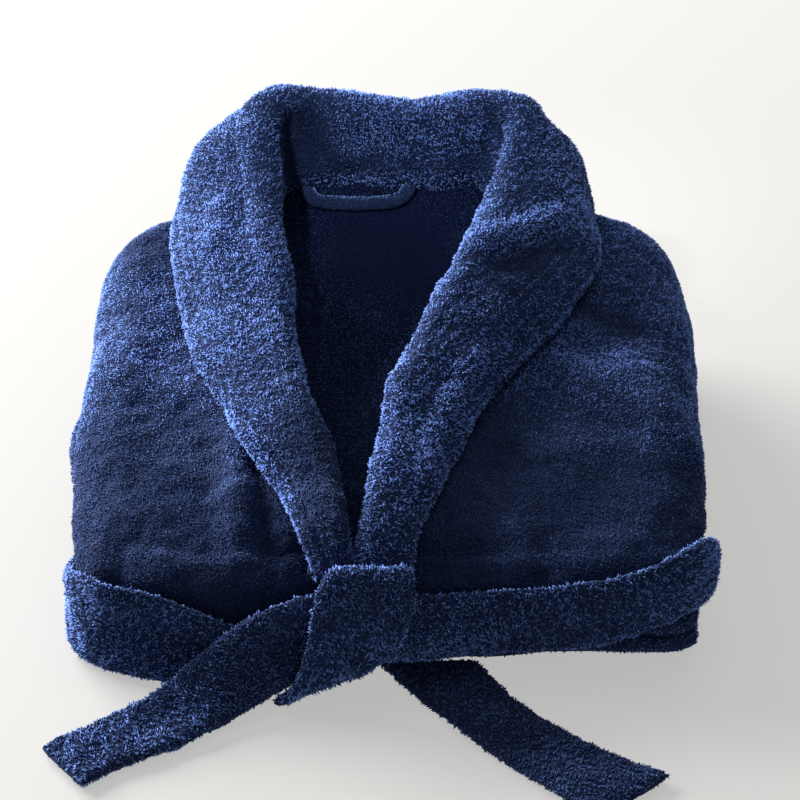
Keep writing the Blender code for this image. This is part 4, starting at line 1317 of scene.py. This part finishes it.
class ROBE_OT_stage(BuildPiece, bpy.types.Operator):
    """Set up the pale floor, the soft lights and the camera"""

    bl_idname = "robe.stage"
    bl_label = "Stage"

    def execute(self, context):
        scene, stage = context.scene, context.scene.robe_stage
        add_floor()
        add_camera(scene, stage)
        add_light("window_left", (-2.6, 2.3, 1.35), (0, 0, 0.1), (3.2, 2.2), stage.key,
                  (1.0, 0.98, 0.95))
        add_light("window_behind", (0.7, 3.4, 1.5), (0, 0, 0.1), (3.4, 1.6), stage.behind,
                  (1.0, 0.99, 0.97))
        add_light("ceiling", (0.2, 0.7, 2.3), (0, 0.1, 0.1), (1.4, 1.4), stage.ceiling,
                  (0.97, 0.98, 1.0))
        add_spot("neck", (-0.55, -0.5, 1.25), (0.0, 0.25, 0.2), radians(15), stage.neck)
        world = bpy.data.worlds.new("room")
        world.use_nodes = True
        background = world.node_tree.nodes["Background"]
        background.inputs["Color"].default_value = (0.96, 0.98, 1.0, 1)
        background.inputs["Strength"].default_value = stage.room
        scene.world = world
        scene.view_settings.view_transform = "Standard"
        return {"FINISHED"}


def add_floor():
    """A wide pale table top with a faint gloss."""
    shader = Shader("table_top")
    shader.set(
        Base_Color=(0.19, 0.19, 0.186, 1), Roughness=0.5, Specular_IOR_Level=0.12,
        Emission_Color=(1.0, 0.995, 0.98, 1), Emission_Strength=0.46)
    reach = 6000.0
    points = [(-reach, -reach, 0), (reach, -reach, 0), (reach, reach, 0), (-reach, reach, 0)]
    mesh = bpy.data.meshes.new("table_top")
    mesh.from_pydata((np.array(points) * MM).tolist(), [], [(0, 1, 2, 3)])
    mesh.materials.append(shader.material)
    floor = bpy.data.objects.new("table_top", mesh)
    bpy.context.scene.collection.objects.link(floor)


def add_camera(scene, stage):
    """The camera in front of the packet, level from side to side and looking down by its pitch."""
    lens = bpy.data.cameras.new("camera")
    lens.lens, lens.sensor_width = stage.lens, 36
    lens.clip_end = 50
    camera = bpy.data.objects.new("camera", lens)
    camera.location = (0, -stage.distance, stage.height)
    camera.rotation_euler = (pi / 2 - stage.pitch, 0, 0)
    scene.collection.objects.link(camera)
    scene.camera = camera


def add_light(name, place, target, size, power, tint):
    """A soft rectangular light at a place, turned to shine at a target."""
    lamp = bpy.data.lights.new(name, "AREA")
    lamp.shape, lamp.size, lamp.size_y = "RECTANGLE", *size
    lamp.energy, lamp.color = power, tint
    add_lamp(name, lamp, place, target)


def add_spot(name, place, target, cone, power):
    """A soft-edged round beam from a place to a target."""
    lamp = bpy.data.lights.new(name, "SPOT")
    lamp.energy, lamp.spot_size, lamp.spot_blend, lamp.shadow_soft_size = power, cone, 1, 0.05
    add_lamp(name, lamp, place, target)


def add_lamp(name, lamp, place, target):
    """Places a light and turns it to shine at a target."""
    light = bpy.data.objects.new(name, lamp)
    way = np.array(target, float) - np.array(place, float)
    light.location = place
    light.rotation_euler = (
        np.arctan2(np.hypot(way[0], way[1]), -way[2]), 0, np.arctan2(-way[0], way[1]))
    bpy.context.scene.collection.objects.link(light)


class ROBE_PT_panel(bpy.types.Panel):
    """Lists the robe's settings and what builds its pieces"""

    bl_idname = "ROBE_PT_panel"
    bl_label = "Folded Terry Robe"
    bl_space_type = "VIEW_3D"
    bl_region_type = "UI"
    bl_category = "Robe"

    def draw(self, context):
        layout = self.layout
        for group in (context.scene.robe_cloth, context.scene.robe_stage):
            box = layout.box()
            for key in group.__annotations__:
                box.prop(group, key)
        for operator in OPERATORS:
            layout.operator(operator.bl_idname)


OPERATORS = (ROBE_OT_fronts, ROBE_OT_back, ROBE_OT_collar, ROBE_OT_loop, ROBE_OT_layers,
             ROBE_OT_belt, ROBE_OT_stage)
CLASSES = (RobeCloth, RobeStage, *OPERATORS, ROBE_PT_panel)


def register():
    """Adds the classes and the scene's settings."""
    for item in CLASSES:
        bpy.utils.register_class(item)
    bpy.types.Scene.robe_cloth = PointerProperty(type=RobeCloth)
    bpy.types.Scene.robe_stage = PointerProperty(type=RobeStage)


def unregister():
    """Takes them away again."""
    del bpy.types.Scene.robe_stage
    del bpy.types.Scene.robe_cloth
    for item in reversed(CLASSES):
        bpy.utils.unregister_class(item)


def main():
    """Builds the pieces and the stage."""
    register()
    bpy.ops.robe.fronts()
    bpy.ops.robe.back()
    bpy.ops.robe.collar()
    bpy.ops.robe.loop()
    bpy.ops.robe.layers()
    bpy.ops.robe.belt()
    bpy.ops.robe.stage()


if __name__ == "__main__":
    main()
